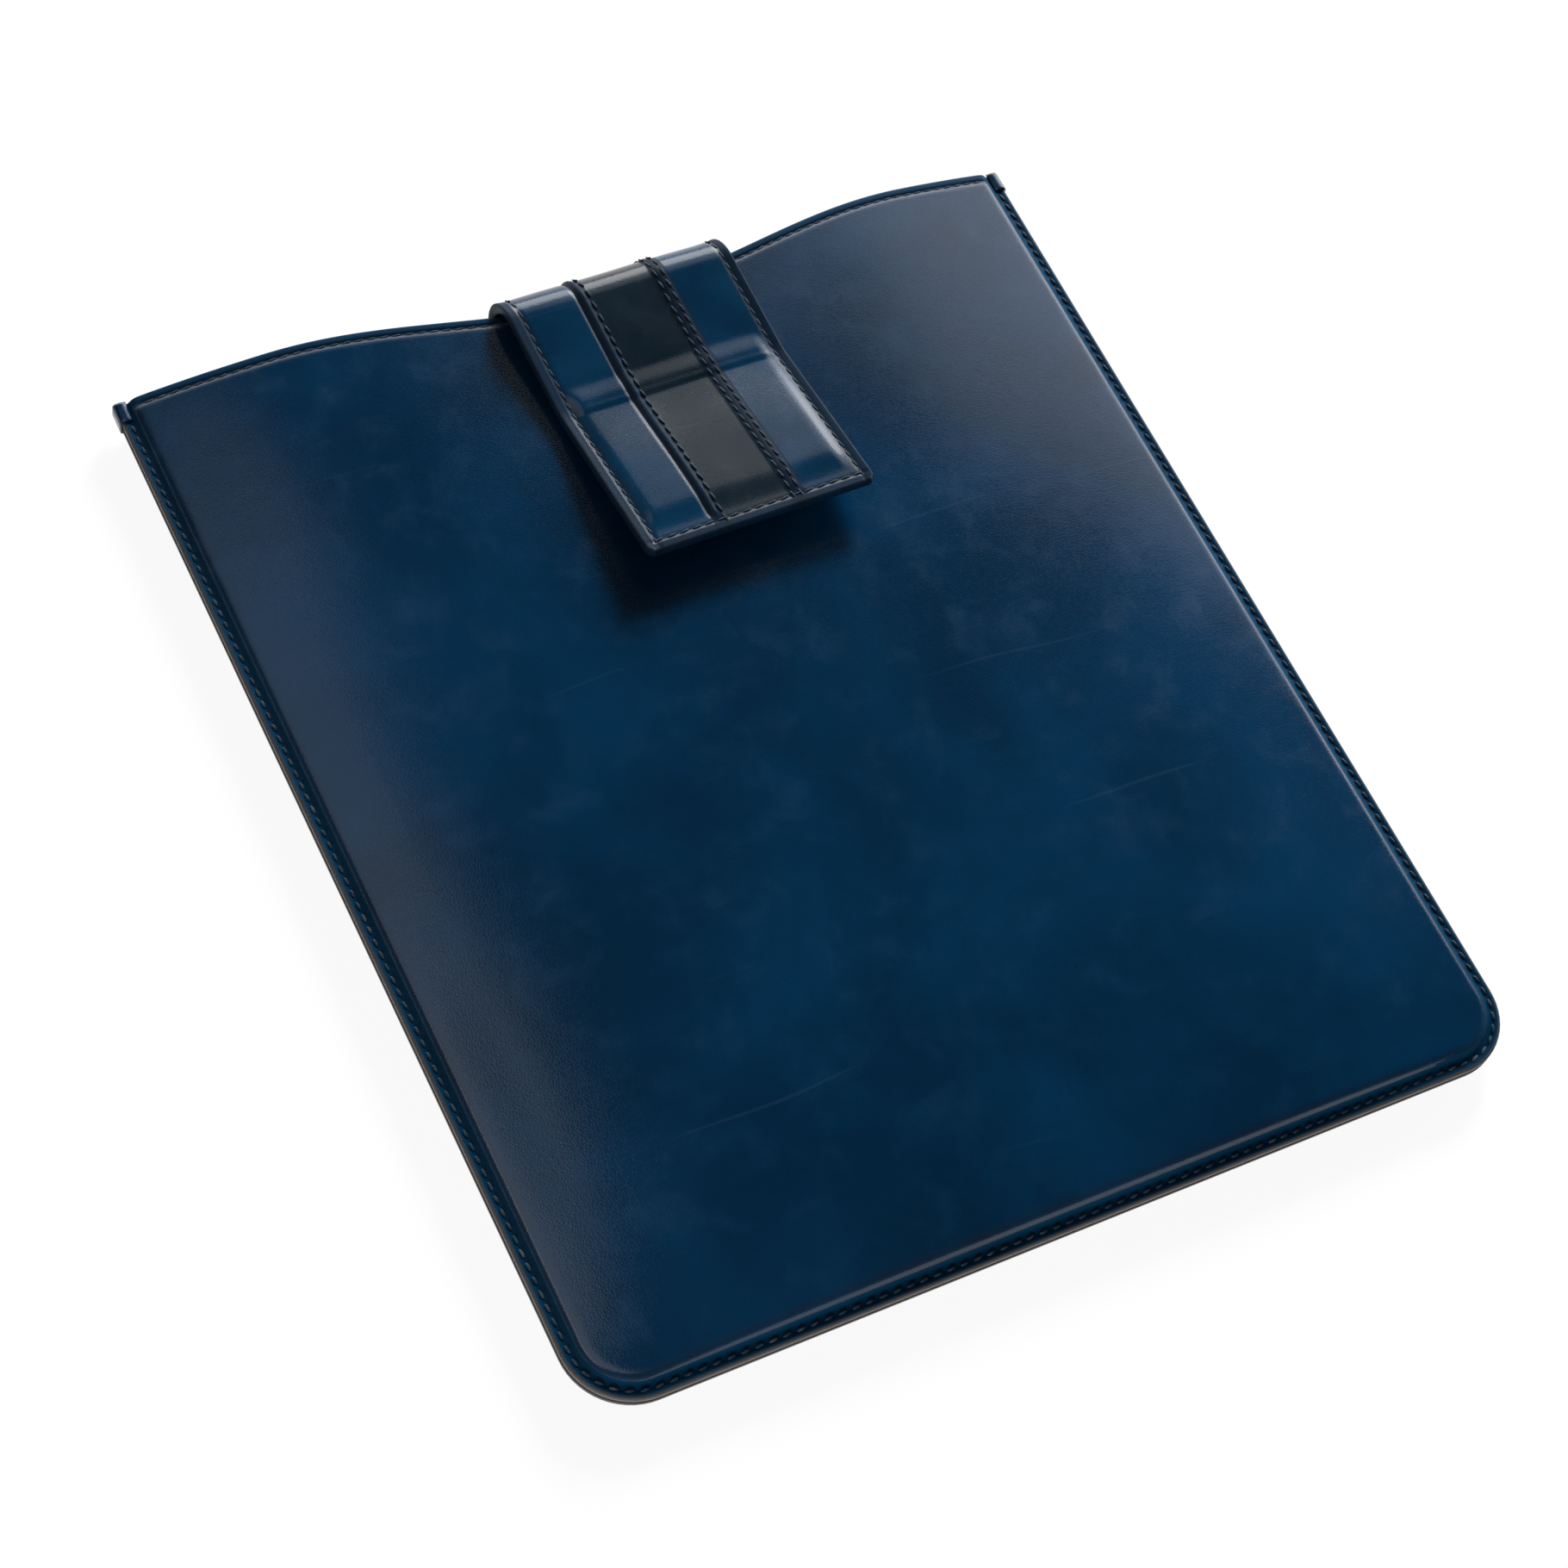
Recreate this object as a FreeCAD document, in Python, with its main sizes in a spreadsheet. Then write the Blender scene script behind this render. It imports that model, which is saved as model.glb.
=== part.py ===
import FreeCAD
import Part
import Sketcher
import math
import os

# Leather tablet sleeve with a wide closing strap, lying on its back.
# Millimetres. X is across the sleeve, Y runs from its closed end to its mouth, Z is up from the table.

Vector = FreeCAD.Vector
Placement = FreeCAD.Placement
Rotation = FreeCAD.Rotation

doc = FreeCAD.newDocument("tablet_sleeve")

# Driving dimensions

dimensions = [
    ("bottom_width", 216.0),      # across the closed end, seam edge to seam edge
    ("mouth_width", 221.6),       # across the mouth, where the sleeve flares a little
    ("length", 250.0),            # closed end to mouth corners
    ("corner_radius", 14.5),      # the two corners of the closed end
    ("seam_margin", 3.4),         # stitched border outside the raised part
    ("leather", 1.3),             # front and back panel
    ("welt", 0.8),                # strip between the panels in the seam
    ("padding", 0.8),             # board felt behind each panel
    ("lining", 0.4),              # suede inside the pocket
    ("ply_gap", 0.05),            # air between glued layers
    ("back_drop", 3.6),           # from the seam's underside down to the flat back
    ("back_wall_lean", 2.6),      # how far the back's side wall leans inwards
    ("shoulder", 1.6),            # step from the seam up to the front's rim
    ("shoulder_lean", 0.7),       # how far the front's side wall leans inwards
    ("crown", 5.2),               # rise of the front from its rim to its middle
    ("crown_power", 3.5),         # how flat the middle of the crown is
    ("crown_run", 72.0),          # from the closed end's rim to where the crown is full
    ("dip_depth", 10.4),          # hollow in the mouth, under the strap
    ("dip_reach", 80.0),          # from the middle of the hollow to its shoulders
    ("dip_x", 3.3),               # middle of the hollow, to the right of the sleeve's middle
    ("facing", 12.0),             # leather strip behind each mouth edge
    ("thread", 0.4),              # width of a row of stitches
    ("thread_proud", 0.25),       # how far a row of stitches stands out
    ("seam_row", 1.5),            # from the seam's edge to its row of stitches
    ("mouth_row", 2.2),           # from the mouth's edge to its row of stitches
    ("tack_length", 4.6),         # caps over the ends of the side seams
    ("tack_width", 2.9),
    ("tack_wall", 0.4),
    ("strap_width", 56.0),
    ("strap_outer", 1.2),         # striped outer leather of the strap
    ("strap_lining", 1.0),        # inner leather of the strap
    ("strap_x", 3.8),             # middle of the strap at the mouth
    ("strap_skew", 2.0),          # degrees that the strap hangs askew
    ("tail_length", 38.0),        # sewn in under the back's lining
    ("tail_skived", 0.8),         # thickness of that tail
    ("tail_exit", 2.4),           # lining held back where the strap comes out
    ("tail_play", 0.4),           # room beside the tail
    ("loop_radius", 9.05),        # outside of the strap's turn over the mouth
    ("loop_y", 112.9),            # axis of that turn
    ("run_pitch", 5.8),           # degrees that the strap falls from the turn to its crease
    ("run_length", 26.1),         # turn to crease
    ("tip_pitch", 7.0),           # degrees that the stiff end rises from the crease
    ("tip_length", 43.0),         # crease to free end
    ("rib_offset", 9.5),          # the two raised ribs, from the strap's middle
    ("rib_width", 3.0),
    ("rib_height", 0.9),
    ("link_gap", 0.25),           # between neighbouring lengths of the strap
    ("pad_rise", 1.3),            # raised panel on the stiff end
    ("pad_start", 2.0),           # crease to that panel
    ("pad_length", 35.5),
    ("pad_side", 3.2),            # strap edge to that panel
    ("board_play", 0.4),          # stiff board to the leather around it
    ("magnet_radius", 6.0),
    ("magnet_spacing", 24.0),
    ("edge_row", 2.4),            # strap edge to its row of stitches
    ("keeper_width", 46.0),
    ("keeper_length", 32.0),
    ("keeper_thick", 0.6),
]

sheet = doc.addObject("Spreadsheet::Sheet", "dims")
for row, (alias, value) in enumerate(dimensions, start=1):
    sheet.set(f"A{row}", alias)
    sheet.set(f"B{row}", str(value))
    sheet.setAlias(f"B{row}", alias)
doc.recompute()


def dim(alias):
    return float(sheet.get(alias))


halfLength = dim("length") / 2
seamThick = 2 * dim("leather") + dim("welt")
seamBottom = dim("back_drop")
seamTop = seamBottom + seamThick
rimTop = seamTop + dim("shoulder")
weltBottom = seamBottom + dim("leather")
weltTop = weltBottom + dim("welt")
wallInset = dim("seam_margin") + dim("leather")
layerInset = wallInset + dim("shoulder_lean") + dim("ply_gap")
above = rimTop + 3 * dim("crown")
beyondMouth = dim("dip_depth") + dim("facing")

turnSteps = 4                     # hinges that share the strap's half turn
turnAngle = 180.0 / turnSteps
loopZ = dim("leather") + dim("loop_radius")

pieces = {}


def keep(name, obj):
    """Registers the finished object of one sub-part under the name of its file."""
    obj.Label = name
    pieces[name] = obj
    return obj


def solid_piece(name, shape):
    """Adds a sub-part whose shape follows the sleeve's outline or crown."""
    obj = doc.addObject("Part::Feature", name)
    obj.Shape = shape.removeSplitter()
    obj.Placement = Placement()
    return keep(name, obj)


# Outlines of the sleeve

def half_width(y):
    share = (y + halfLength) / dim("length")
    return (dim("bottom_width") + share * (dim("mouth_width") - dim("bottom_width"))) / 2


def mouth_y(x):
    reach = min(abs(x - dim("dip_x")) / dim("dip_reach"), 1.0)
    return halfLength - dim("dip_depth") * (1 + math.cos(math.pi * reach)) / 2


def corner_arc(before, corner, after, radius):
    """Arc of a given radius that rounds one corner, from its tangent point on each side."""
    to_before = (before - corner).normalize()
    to_after = (after - corner).normalize()
    half_angle = to_before.getAngle(to_after) / 2
    tangent = radius / math.tan(half_angle)
    middle = (to_before + to_after).normalize() * (radius / math.sin(half_angle) - radius)
    return Part.Arc(corner + to_before * tangent, corner + middle, corner + to_after * tangent)


def mouth_edges(shift):
    """Mouth line from right to left, moved along Y, with its hollow as one curve."""
    mid, reach = dim("dip_x"), dim("dip_reach")
    steps = 8
    hollow = [mid + reach - 2 * reach * k / steps for k in range(steps + 1)]
    points = [Vector(x, mouth_y(x) + shift, 0) for x in hollow]
    curve = Part.BSplineCurve()
    curve.interpolate(Points=points, InitialTangent=Vector(-1, 0, 0), FinalTangent=Vector(-1, 0, 0))
    return points[0], points[-1], curve


def outline(inset, shift=0.0):
    """Closed line of the sleeve, drawn in from its seam edge and moved at the mouth."""
    bottom = inset - halfLength
    top = halfLength + shift
    low = half_width(bottom) - inset
    high = half_width(top) - inset
    low_left, low_right = Vector(-low, bottom, 0), Vector(low, bottom, 0)
    top_left, top_right = Vector(-high, top, 0), Vector(high, top, 0)
    radius = dim("corner_radius") - inset
    left = corner_arc(top_left, low_left, low_right, radius)
    right = corner_arc(low_left, low_right, top_right, radius)
    hollow_right, hollow_left, curve = mouth_edges(shift)
    edges = [
        Part.LineSegment(top_left, left.StartPoint),
        left,
        Part.LineSegment(left.EndPoint, right.StartPoint),
        right,
        Part.LineSegment(right.EndPoint, top_right),
        Part.LineSegment(top_right, hollow_right),
        curve,
        Part.LineSegment(hollow_left, top_left),
    ]
    return Part.Wire([edge.toShape() for edge in edges])


def raised(wire, z):
    copy = wire.copy()
    copy.translate(Vector(0, 0, z))
    return copy


def prism(wire, low, high):
    return Part.Face(raised(wire, low)).extrude(Vector(0, 0, high - low))


def leaning(wire_low, low, wire_high, high):
    """Solid between two outlines at two heights, with straight walls."""
    return Part.makeLoft([raised(wire_low, low), raised(wire_high, high)], True, True)


# Crown of the front

def crown_z(x, y):
    rim_half = half_width(y) - dim("seam_margin")
    across = 1 - abs(x / rim_half) ** dim("crown_power")
    from_full = max(dim("crown_run") - dim("seam_margin") - (y + halfLength), 0) / dim("crown_run")
    along = 1 - from_full ** dim("crown_power")
    return rimTop + dim("crown") * across * along


def crown_face():
    """Smooth upper surface of the front, carried a little past every edge."""
    past = 4.0
    half = dim("mouth_width") / 2 + past
    across = [half * (2 * k / 16 - 1) for k in range(17)]
    low, high = -halfLength - past, halfLength + past
    along = [low + (high - low) * k / 16 for k in range(17)]
    surface = Part.BSplineSurface()
    surface.interpolate([[Vector(x, y, crown_z(x, y)) for y in along] for x in across])
    return surface.toShape()


crownSurface = crown_face()


def under_crown(depth):
    """Everything below the crown, a given depth down."""
    face = crownSurface.copy()
    face.translate(Vector(0, 0, -depth))
    return face.extrude(Vector(0, 0, -above))


def crown_layer(depth, thick):
    """Sheet of a given thickness that follows the crown, a given depth below it."""
    face = crownSurface.copy()
    face.translate(Vector(0, 0, -depth))
    return face.extrude(Vector(0, 0, -thick))


def mouth_band(inset, start, end):
    """Strip along the mouth, between two distances from its edge."""
    outer = prism(outline(inset, -start), -above, above)
    return outer.cut(prism(outline(0, -end), -above, above))


def strap_slot(behind, high):
    """Room for the strap where it leaves the back, from a distance behind the loop's axis."""
    side = dim("strap_width") / 2 + dim("tail_play")
    box = Part.makeBox(2 * side, behind + halfLength, high, Vector(-side, -behind, 0))
    box.Placement = strapFrame.multiply(box.Placement)
    return box


strapFrame = Placement(Vector(dim("strap_x"), dim("loop_y"), 0), Rotation(Vector(0, 0, 1), dim("strap_skew")))


# Sleeve

def front_panel():
    margin, lean, thick = dim("seam_margin"), dim("shoulder_lean"), dim("leather")
    border = prism(outline(0), weltTop, seamTop)
    block = leaning(outline(margin), weltTop, outline(margin + lean), above)
    hollow = leaning(outline(wallInset, beyondMouth), 0, outline(wallInset + lean, beyondMouth), above)
    outer = border.fuse(block.common(under_crown(0)))
    solid_piece("front_panel", outer.cut(hollow.common(under_crown(thick))))


def back_panel():
    margin, lean, thick = dim("seam_margin"), dim("back_wall_lean"), dim("leather")
    border = prism(outline(0), seamBottom, weltBottom)
    block = leaning(outline(margin + lean), 0, outline(margin), weltBottom)
    hollow = leaning(outline(wallInset + lean, beyondMouth), thick, outline(wallInset, beyondMouth), above)
    solid_piece("back_panel", border.fuse(block).cut(hollow))


def seam_welt():
    ring = prism(outline(0), weltBottom, weltTop)
    solid_piece("seam_welt", ring.cut(prism(outline(dim("seam_margin"), beyondMouth), 0, above)))


def front_layers():
    depth = dim("leather") + dim("ply_gap")
    thick = dim("padding") - dim("ply_gap")
    inside = prism(outline(layerInset), weltTop, above)
    short_of_facing = prism(outline(layerInset, -dim("facing") - dim("ply_gap")), weltTop, above)
    keeper_depth = keeper_plate()
    padding = short_of_facing.common(crown_layer(depth, thick))
    solid_piece("front_padding", padding.cut(keeper_depth))
    facing = mouth_band(layerInset, 0, dim("facing")).common(crown_layer(depth, thick))
    solid_piece("front_mouth_facing", facing)
    lining = crown_layer(dim("leather") + dim("padding") + dim("ply_gap"), dim("lining"))
    solid_piece("front_lining", inside.common(lining))


def keeper_plate():
    """Thin steel plate under the front leather that the strap's magnets hold on to."""
    reach = dim("run_length") + dim("pad_start") + dim("pad_length") / 2
    centre = strapFrame.multVec(Vector(0, -reach, 0))
    wide, long = dim("keeper_width"), dim("keeper_length")
    window = Part.makeBox(wide, long, above, Vector(-wide / 2, -long / 2, 0))
    askew = Placement(centre, Rotation(Vector(0, 0, 1), dim("strap_skew")))
    window.Placement = askew.multiply(window.Placement)
    sunk = crown_layer(dim("leather") + dim("ply_gap"), dim("keeper_thick"))
    solid_piece("keeper_plate", window.common(sunk))
    return window.common(crown_layer(dim("leather"), dim("keeper_thick") + 2 * dim("ply_gap")))


def back_layers():
    inset = wallInset + dim("back_wall_lean") + dim("ply_gap")
    low = dim("leather") + dim("ply_gap")
    high = dim("leather") + dim("padding")
    inside = outline(inset)
    tail_slot = strap_slot(dim("tail_length") + dim("tail_play"), above)
    padding = prism(outline(inset, -dim("facing") - dim("ply_gap")), low, high)
    solid_piece("back_padding", padding.cut(tail_slot))
    band = mouth_band(inset, 0, dim("facing")).common(prism(inside, low, high))
    solid_piece("back_mouth_facing", band.cut(tail_slot))
    lining = prism(inside, high + dim("ply_gap"), high + dim("ply_gap") + dim("lining"))
    solid_piece("back_lining", lining.cut(strap_slot(dim("tail_exit"), above)))


def seam_threads():
    """Rows of stitches on both sides of the seam, and along the front's mouth."""
    start, wide = dim("seam_row"), dim("thread")
    stop = -dim("tack_length") - wide
    row = prism(outline(start, stop), 0, above).cut(prism(outline(start + wide, beyondMouth), 0, above))
    proud = dim("thread_proud")
    solid_piece("front_seam_thread", row.common(prism(outline(0), seamTop, seamTop + proud)))
    solid_piece("back_seam_thread", row.common(prism(outline(0), seamBottom - proud, seamBottom)))
    edge = dim("mouth_row")
    band = mouth_band(layerInset + dim("shoulder_lean"), edge, edge + wide)
    solid_piece("front_mouth_thread", band.common(crown_layer(-proud, proud)))


def mouth_tack(name, side):
    """Small cap over the end of one side seam, at a corner of the mouth."""
    wall = dim("tack_wall")
    play = dim("ply_gap")
    edge = half_width(halfLength)
    cap = doc.addObject("Part::Box", name + "_block")
    cap.setExpression("Length", "dims.tack_width + dims.tack_wall")
    cap.setExpression("Width", "dims.tack_length + dims.tack_wall")
    cap.setExpression("Height", "2 * (dims.leather + dims.tack_wall) + dims.welt")
    room = doc.addObject("Part::Box", name + "_room")
    room.setExpression("Length", "dims.tack_width + dims.ply_gap")
    room.setExpression("Width", "dims.tack_length + dims.ply_gap")
    room.setExpression("Height", "2 * (dims.leather + dims.ply_gap) + dims.welt")
    inner = edge - dim("tack_width")
    low = halfLength - dim("tack_length")
    cap_x = inner if side > 0 else -edge - wall
    room_x = inner if side > 0 else -edge - play
    cap.Placement.Base = Vector(cap_x, low, seamBottom - wall)
    room.Placement.Base = Vector(room_x, low, seamBottom - play)
    cut = doc.addObject("Part::Cut", name)
    cut.Base = cap
    cut.Tool = room
    keep(name, cut)


# Strap: shared builders

loopFrame = strapFrame.multiply(Placement(Vector(0, 0, loopZ), Rotation()))
runFrame = loopFrame.multiply(Placement(Vector(), Rotation(Vector(1, 0, 0), dim("run_pitch"))))
creaseHeight = dim("loop_radius") + dim("rib_height")
creasePoint = runFrame.multVec(Vector(0, -dim("run_length"), creaseHeight))
tipTurn = Rotation(Vector(0, 0, 1), dim("strap_skew")).multiply(Rotation(Vector(1, 0, 0), -dim("tip_pitch")))
tipFrame = Placement(creasePoint, tipTurn)


def around_loop(angle, x):
    """Frame for a ring sector: its axis along the strap's width, its start at an angle from below."""
    turn = math.radians(angle)
    start = Vector(0, math.sin(turn), -math.cos(turn))
    onward = Vector(0, math.cos(turn), math.sin(turn))
    return loopFrame.multiply(Placement(Vector(x, 0, 0), Rotation(start, onward, Vector(1, 0, 0), "ZXY")))


def sector(name, start, sweep, x, width, inner, outer):
    """Part of a ring round the strap's turn. Sizes are expressions on the sheet."""
    rings = []
    for suffix, radius in (("_disc", outer), ("_core", inner)):
        disc = doc.addObject("Part::Cylinder", name + suffix)
        disc.setExpression("Radius", radius)
        disc.setExpression("Height", width)
        disc.Angle = sweep
        disc.Placement = around_loop(start, x)
        rings.append(disc)
    cut = doc.addObject("Part::Cut", name + "_sector")
    cut.Base, cut.Tool = rings
    return cut


def plate(name, frame, corner, length, width, height):
    """Flat block in one of the strap's frames. Sizes are expressions on the sheet."""
    box = doc.addObject("Part::Box", name)
    box.setExpression("Length", length)
    box.setExpression("Width", width)
    box.setExpression("Height", height)
    box.Placement = frame.multiply(Placement(corner, Rotation()))
    return box


def fused(name, shapes):
    fuse = doc.addObject("Part::MultiFuse", name)
    fuse.Shapes = shapes
    fuse.Refine = True
    return keep(name, fuse)


def grouped(name, shapes):
    group = doc.addObject("Part::Compound", name)
    group.Links = shapes
    return keep(name, group)


outerRadius = "dims.loop_radius"
plyRadius = "dims.loop_radius - dims.strap_outer"
liningRadius = "dims.loop_radius - dims.strap_outer - dims.ply_gap"
innerRadius = "dims.loop_radius - dims.strap_outer - dims.strap_lining"
ribRadius = "dims.loop_radius + dims.rib_height"
sideStripe = "dims.strap_width / 2 - dims.rib_offset - dims.rib_width / 2"
midStripe = "2 * dims.rib_offset - dims.rib_width"

halfStrap = dim("strap_width") / 2
ribInner = dim("rib_offset") - dim("rib_width") / 2
ribOuter = dim("rib_offset") + dim("rib_width") / 2
plyStart = dim("loop_radius") - dim("strap_outer")
liningStart = plyStart - dim("strap_lining")
gapAngle = math.degrees(dim("link_gap") / dim("loop_radius"))

stripes = {
    "left_stripe": (-halfStrap, sideStripe),
    "centre_stripe": (-ribInner, midStripe),
    "right_stripe": (ribOuter, sideStripe),
}
ribs = {
    "left_rib": (-ribOuter, "dims.rib_width"),
    "right_rib": (ribInner, "dims.rib_width"),
}


# Strap: tail and turn

def strap_root():
    """Tail sewn in under the back's lining, and the first eighth of the turn."""
    sweep = turnAngle / 2 - gapAngle / 2
    skin = sector("strap_root", 0, sweep, -halfStrap, "dims.strap_width", plyRadius, outerRadius)
    corner = Vector(-halfStrap, -dim("tail_length"), dim("leather"))
    tail = plate("strap_tail_flat", strapFrame, corner,
                 "dims.strap_width", "dims.tail_length", "dims.tail_skived")
    fused("strap_tail", [skin, tail])
    back = sector("strap_root_inner", 0, sweep, -halfStrap, "dims.strap_width", innerRadius, liningRadius)
    keep("strap_root_lining", back)


def strap_bend(number):
    """One length of the turn, between two hinges, with its ribs and its lining."""
    start = turnAngle * (number - 0.5) + gapAngle / 2
    sweep = turnAngle - gapAngle
    name = f"strap_bend_{number}"
    shapes = [sector(name, start, sweep, -halfStrap, "dims.strap_width", plyRadius, outerRadius)]
    for rib, (x, width) in ribs.items():
        shapes.append(sector(f"{name}_{rib}", start, sweep, x, width, plyRadius, ribRadius))
    fused(name, shapes)
    back = sector(name + "_inner", start, sweep, -halfStrap, "dims.strap_width", innerRadius, liningRadius)
    keep(name + "_lining", back)


# Strap: straight run from the turn to the crease

def run_strip(name, x, width, inner, outer, low, thick):
    """Band of the run: the last of the turn and the flat length that follows it."""
    start = turnAngle * (turnSteps - 0.5) + gapAngle / 2
    sweep = 180 + dim("run_pitch") - start
    curve = sector(name, start, sweep, x, width, inner, outer)
    corner = Vector(x, -dim("run_length"), low)
    flat = plate(name + "_flat", runFrame, corner, width, "dims.run_length", thick)
    fused(name, [curve, flat])


def strap_run():
    for stripe, (x, width) in stripes.items():
        run_strip("run_" + stripe, x, width, plyRadius, outerRadius, plyStart, "dims.strap_outer")
    rib_thick = "dims.strap_outer + dims.rib_height"
    for rib, (x, width) in ribs.items():
        run_strip("run_" + rib, x, width, plyRadius, ribRadius, plyStart, rib_thick)
    back_thick = "dims.strap_lining - dims.ply_gap"
    run_strip("run_lining", -halfStrap, "dims.strap_width", innerRadius, liningRadius, liningStart, back_thick)
    row = dim("edge_row")
    rows = []
    for number, x in enumerate((-halfStrap + row, halfStrap - row - dim("thread"))):
        corner = Vector(x, -dim("run_length"), dim("loop_radius"))
        name = f"run_edge_row_{number}"
        rows.append(plate(name, runFrame, corner, "dims.thread", "dims.run_length", "dims.thread_proud"))
    grouped("run_thread", rows)


# Strap: stiff end beyond the crease

tipTop = -dim("rib_height")
tipPly = tipTop - dim("strap_outer")
tipUnder = tipPly - dim("strap_lining")
tipEnd = -dim("tip_length")
padFar = -dim("pad_start") - dim("pad_length")


def lifted_band(name, x, width, pad_x, pad_width, room_x, room_width, rise):
    """Band of outer leather that is lifted over the stiff board, and hollow there."""
    flat = plate(name + "_flat", tipFrame, Vector(x, tipEnd, tipPly), width,
                 "dims.tip_length - dims.link_gap", "dims.strap_outer" + rise)
    pad = plate(name + "_pad", tipFrame, Vector(pad_x, padFar, tipPly), pad_width,
                "dims.pad_length", "dims.strap_outer + dims.pad_rise" + rise)
    whole = doc.addObject("Part::MultiFuse", name + "_whole")
    whole.Shapes = [flat, pad]
    room = plate(name + "_room", tipFrame, Vector(room_x, padFar + dim("strap_outer"), tipPly), room_width,
                 "dims.pad_length - 2 * dims.strap_outer", "dims.pad_rise")
    cut = doc.addObject("Part::Cut", name)
    cut.Base = whole
    cut.Tool = room
    cut.Refine = True
    keep(name, cut)


def tip_stripes():
    pad_width = sideStripe + " - dims.pad_side"
    room_width = pad_width + " - dims.strap_outer"
    pad_left = -halfStrap + dim("pad_side")
    room_left = pad_left + dim("strap_outer")
    lifted_band("tip_left_stripe", -halfStrap, sideStripe, pad_left, pad_width, room_left, room_width, "")
    lifted_band("tip_centre_stripe", -ribInner, midStripe, -ribInner, midStripe, -ribInner, midStripe, "")
    lifted_band("tip_right_stripe", ribOuter, sideStripe, ribOuter, pad_width, ribOuter, room_width, "")


def tip_ribs():
    for rib, (x, width) in ribs.items():
        lifted_band("tip_" + rib, x, width, x, width, x, width, " + dims.rib_height")


def tip_threads():
    """Rows of stitches along both edges and the end of the strap."""
    row = dim("edge_row")
    sides = (-halfStrap + row, halfStrap - row - dim("thread"))
    rows = []
    for number, x in enumerate(sides):
        corner = Vector(x, tipEnd + row, tipTop)
        rows.append(plate(f"tip_edge_row_{number}", tipFrame, corner, "dims.thread",
                          "dims.tip_length - dims.edge_row - dims.link_gap", "dims.thread_proud"))
    ends = {"left_stripe": -halfStrap + row + 2 * dim("thread"), "right_stripe": ribOuter}
    end_width = sideStripe + " - dims.edge_row - 2 * dims.thread"
    for stripe, x in ends.items():
        corner = Vector(x, tipEnd + row, tipTop)
        rows.append(plate(f"tip_end_row_{stripe}", tipFrame, corner,
                          end_width, "dims.thread", "dims.thread_proud"))
    corner = Vector(-ribInner, tipEnd + row, tipTop)
    rows.append(plate("tip_end_row_centre", tipFrame, corner, midStripe, "dims.thread", "dims.thread_proud"))
    grouped("tip_thread", rows)


def origin_plane(body, role):
    return next(item for item in body.Origin.OriginFeatures if item.Role == role)


def centred_rectangle(sketch, width, length):
    """Rectangle about the sketch's origin whose sides are expressions on the sheet."""
    corners = [Vector(-1, -1, 0), Vector(1, -1, 0), Vector(1, 1, 0), Vector(-1, 1, 0)]
    for number, corner in enumerate(corners):
        sketch.addGeometry(Part.LineSegment(corner, corners[(number + 1) % 4]), False)
    for number in range(4):
        sketch.addConstraint(Sketcher.Constraint("Coincident", number, 2, (number + 1) % 4, 1))
    for number, kind in enumerate(("Horizontal", "Vertical", "Horizontal", "Vertical")):
        sketch.addConstraint(Sketcher.Constraint(kind, number))
    sketch.addConstraint(Sketcher.Constraint("Symmetric", 0, 1, 2, 1, -1, 1))
    across = sketch.addConstraint(Sketcher.Constraint("DistanceX", 0, 1, 0, 2, 2.0))
    along = sketch.addConstraint(Sketcher.Constraint("DistanceY", 1, 1, 1, 2, 2.0))
    sketch.setExpression(f"Constraints[{across}]", width)
    sketch.setExpression(f"Constraints[{along}]", length)


def magnet_board():
    """Stiff board inside the strap's end, with two round windows for the magnets."""
    body = doc.addObject("PartDesign::Body", "magnet_board")
    sketch = body.newObject("Sketcher::SketchObject", "board_outline")
    sketch.AttachmentSupport = [(origin_plane(body, "XY_Plane"), "")]
    sketch.MapMode = "FlatFace"
    side = "dims.strap_width - 2 * dims.pad_side - 2 * dims.strap_outer - 2 * dims.board_play"
    end = "dims.pad_length - 2 * dims.strap_outer - 2 * dims.board_play"
    centred_rectangle(sketch, side, end)
    pad = body.newObject("PartDesign::Pad", "board")
    pad.Profile = sketch
    pad.setExpression("Length", "dims.pad_rise - 2 * dims.ply_gap")
    doc.recompute()
    solid_volume = body.Shape.Volume
    windows = body.newObject("Sketcher::SketchObject", "magnet_windows")
    windows.AttachmentSupport = [(origin_plane(body, "XY_Plane"), "")]
    windows.MapMode = "FlatFace"
    for side_sign in (-1, 1):
        place = Vector(side_sign * dim("magnet_spacing") / 2, 0, 0)
        circle = windows.addGeometry(Part.Circle(place, Vector(0, 0, 1), dim("magnet_radius")), False)
        radius = windows.addConstraint(Sketcher.Constraint("Radius", circle, dim("magnet_radius")))
        windows.setExpression(f"Constraints[{radius}]", "dims.magnet_radius + dims.ply_gap")
    pocket = body.newObject("PartDesign::Pocket", "magnet_room")
    pocket.Profile = windows
    pocket.Type = "ThroughAll"
    pocket.Reversed = True
    doc.recompute()
    if body.Shape.Volume >= solid_volume:
        raise RuntimeError("the windows in the magnet board cut nothing")
    body.Placement = board_frame()
    keep("magnet_board", body)


def board_frame():
    middle = -dim("pad_start") - dim("pad_length") / 2
    return tipFrame.multiply(Placement(Vector(0, middle, tipPly + dim("ply_gap")), Rotation()))


def magnets():
    discs = []
    for number, side in enumerate((-1, 1)):
        disc = doc.addObject("Part::Cylinder", f"magnet_{number}")
        disc.setExpression("Radius", "dims.magnet_radius")
        disc.setExpression("Height", "dims.pad_rise - 2 * dims.ply_gap")
        place = Vector(side * dim("magnet_spacing") / 2, 0, 0)
        disc.Placement = board_frame().multiply(Placement(place, Rotation()))
        discs.append(disc)
    grouped("magnets", discs)


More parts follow.
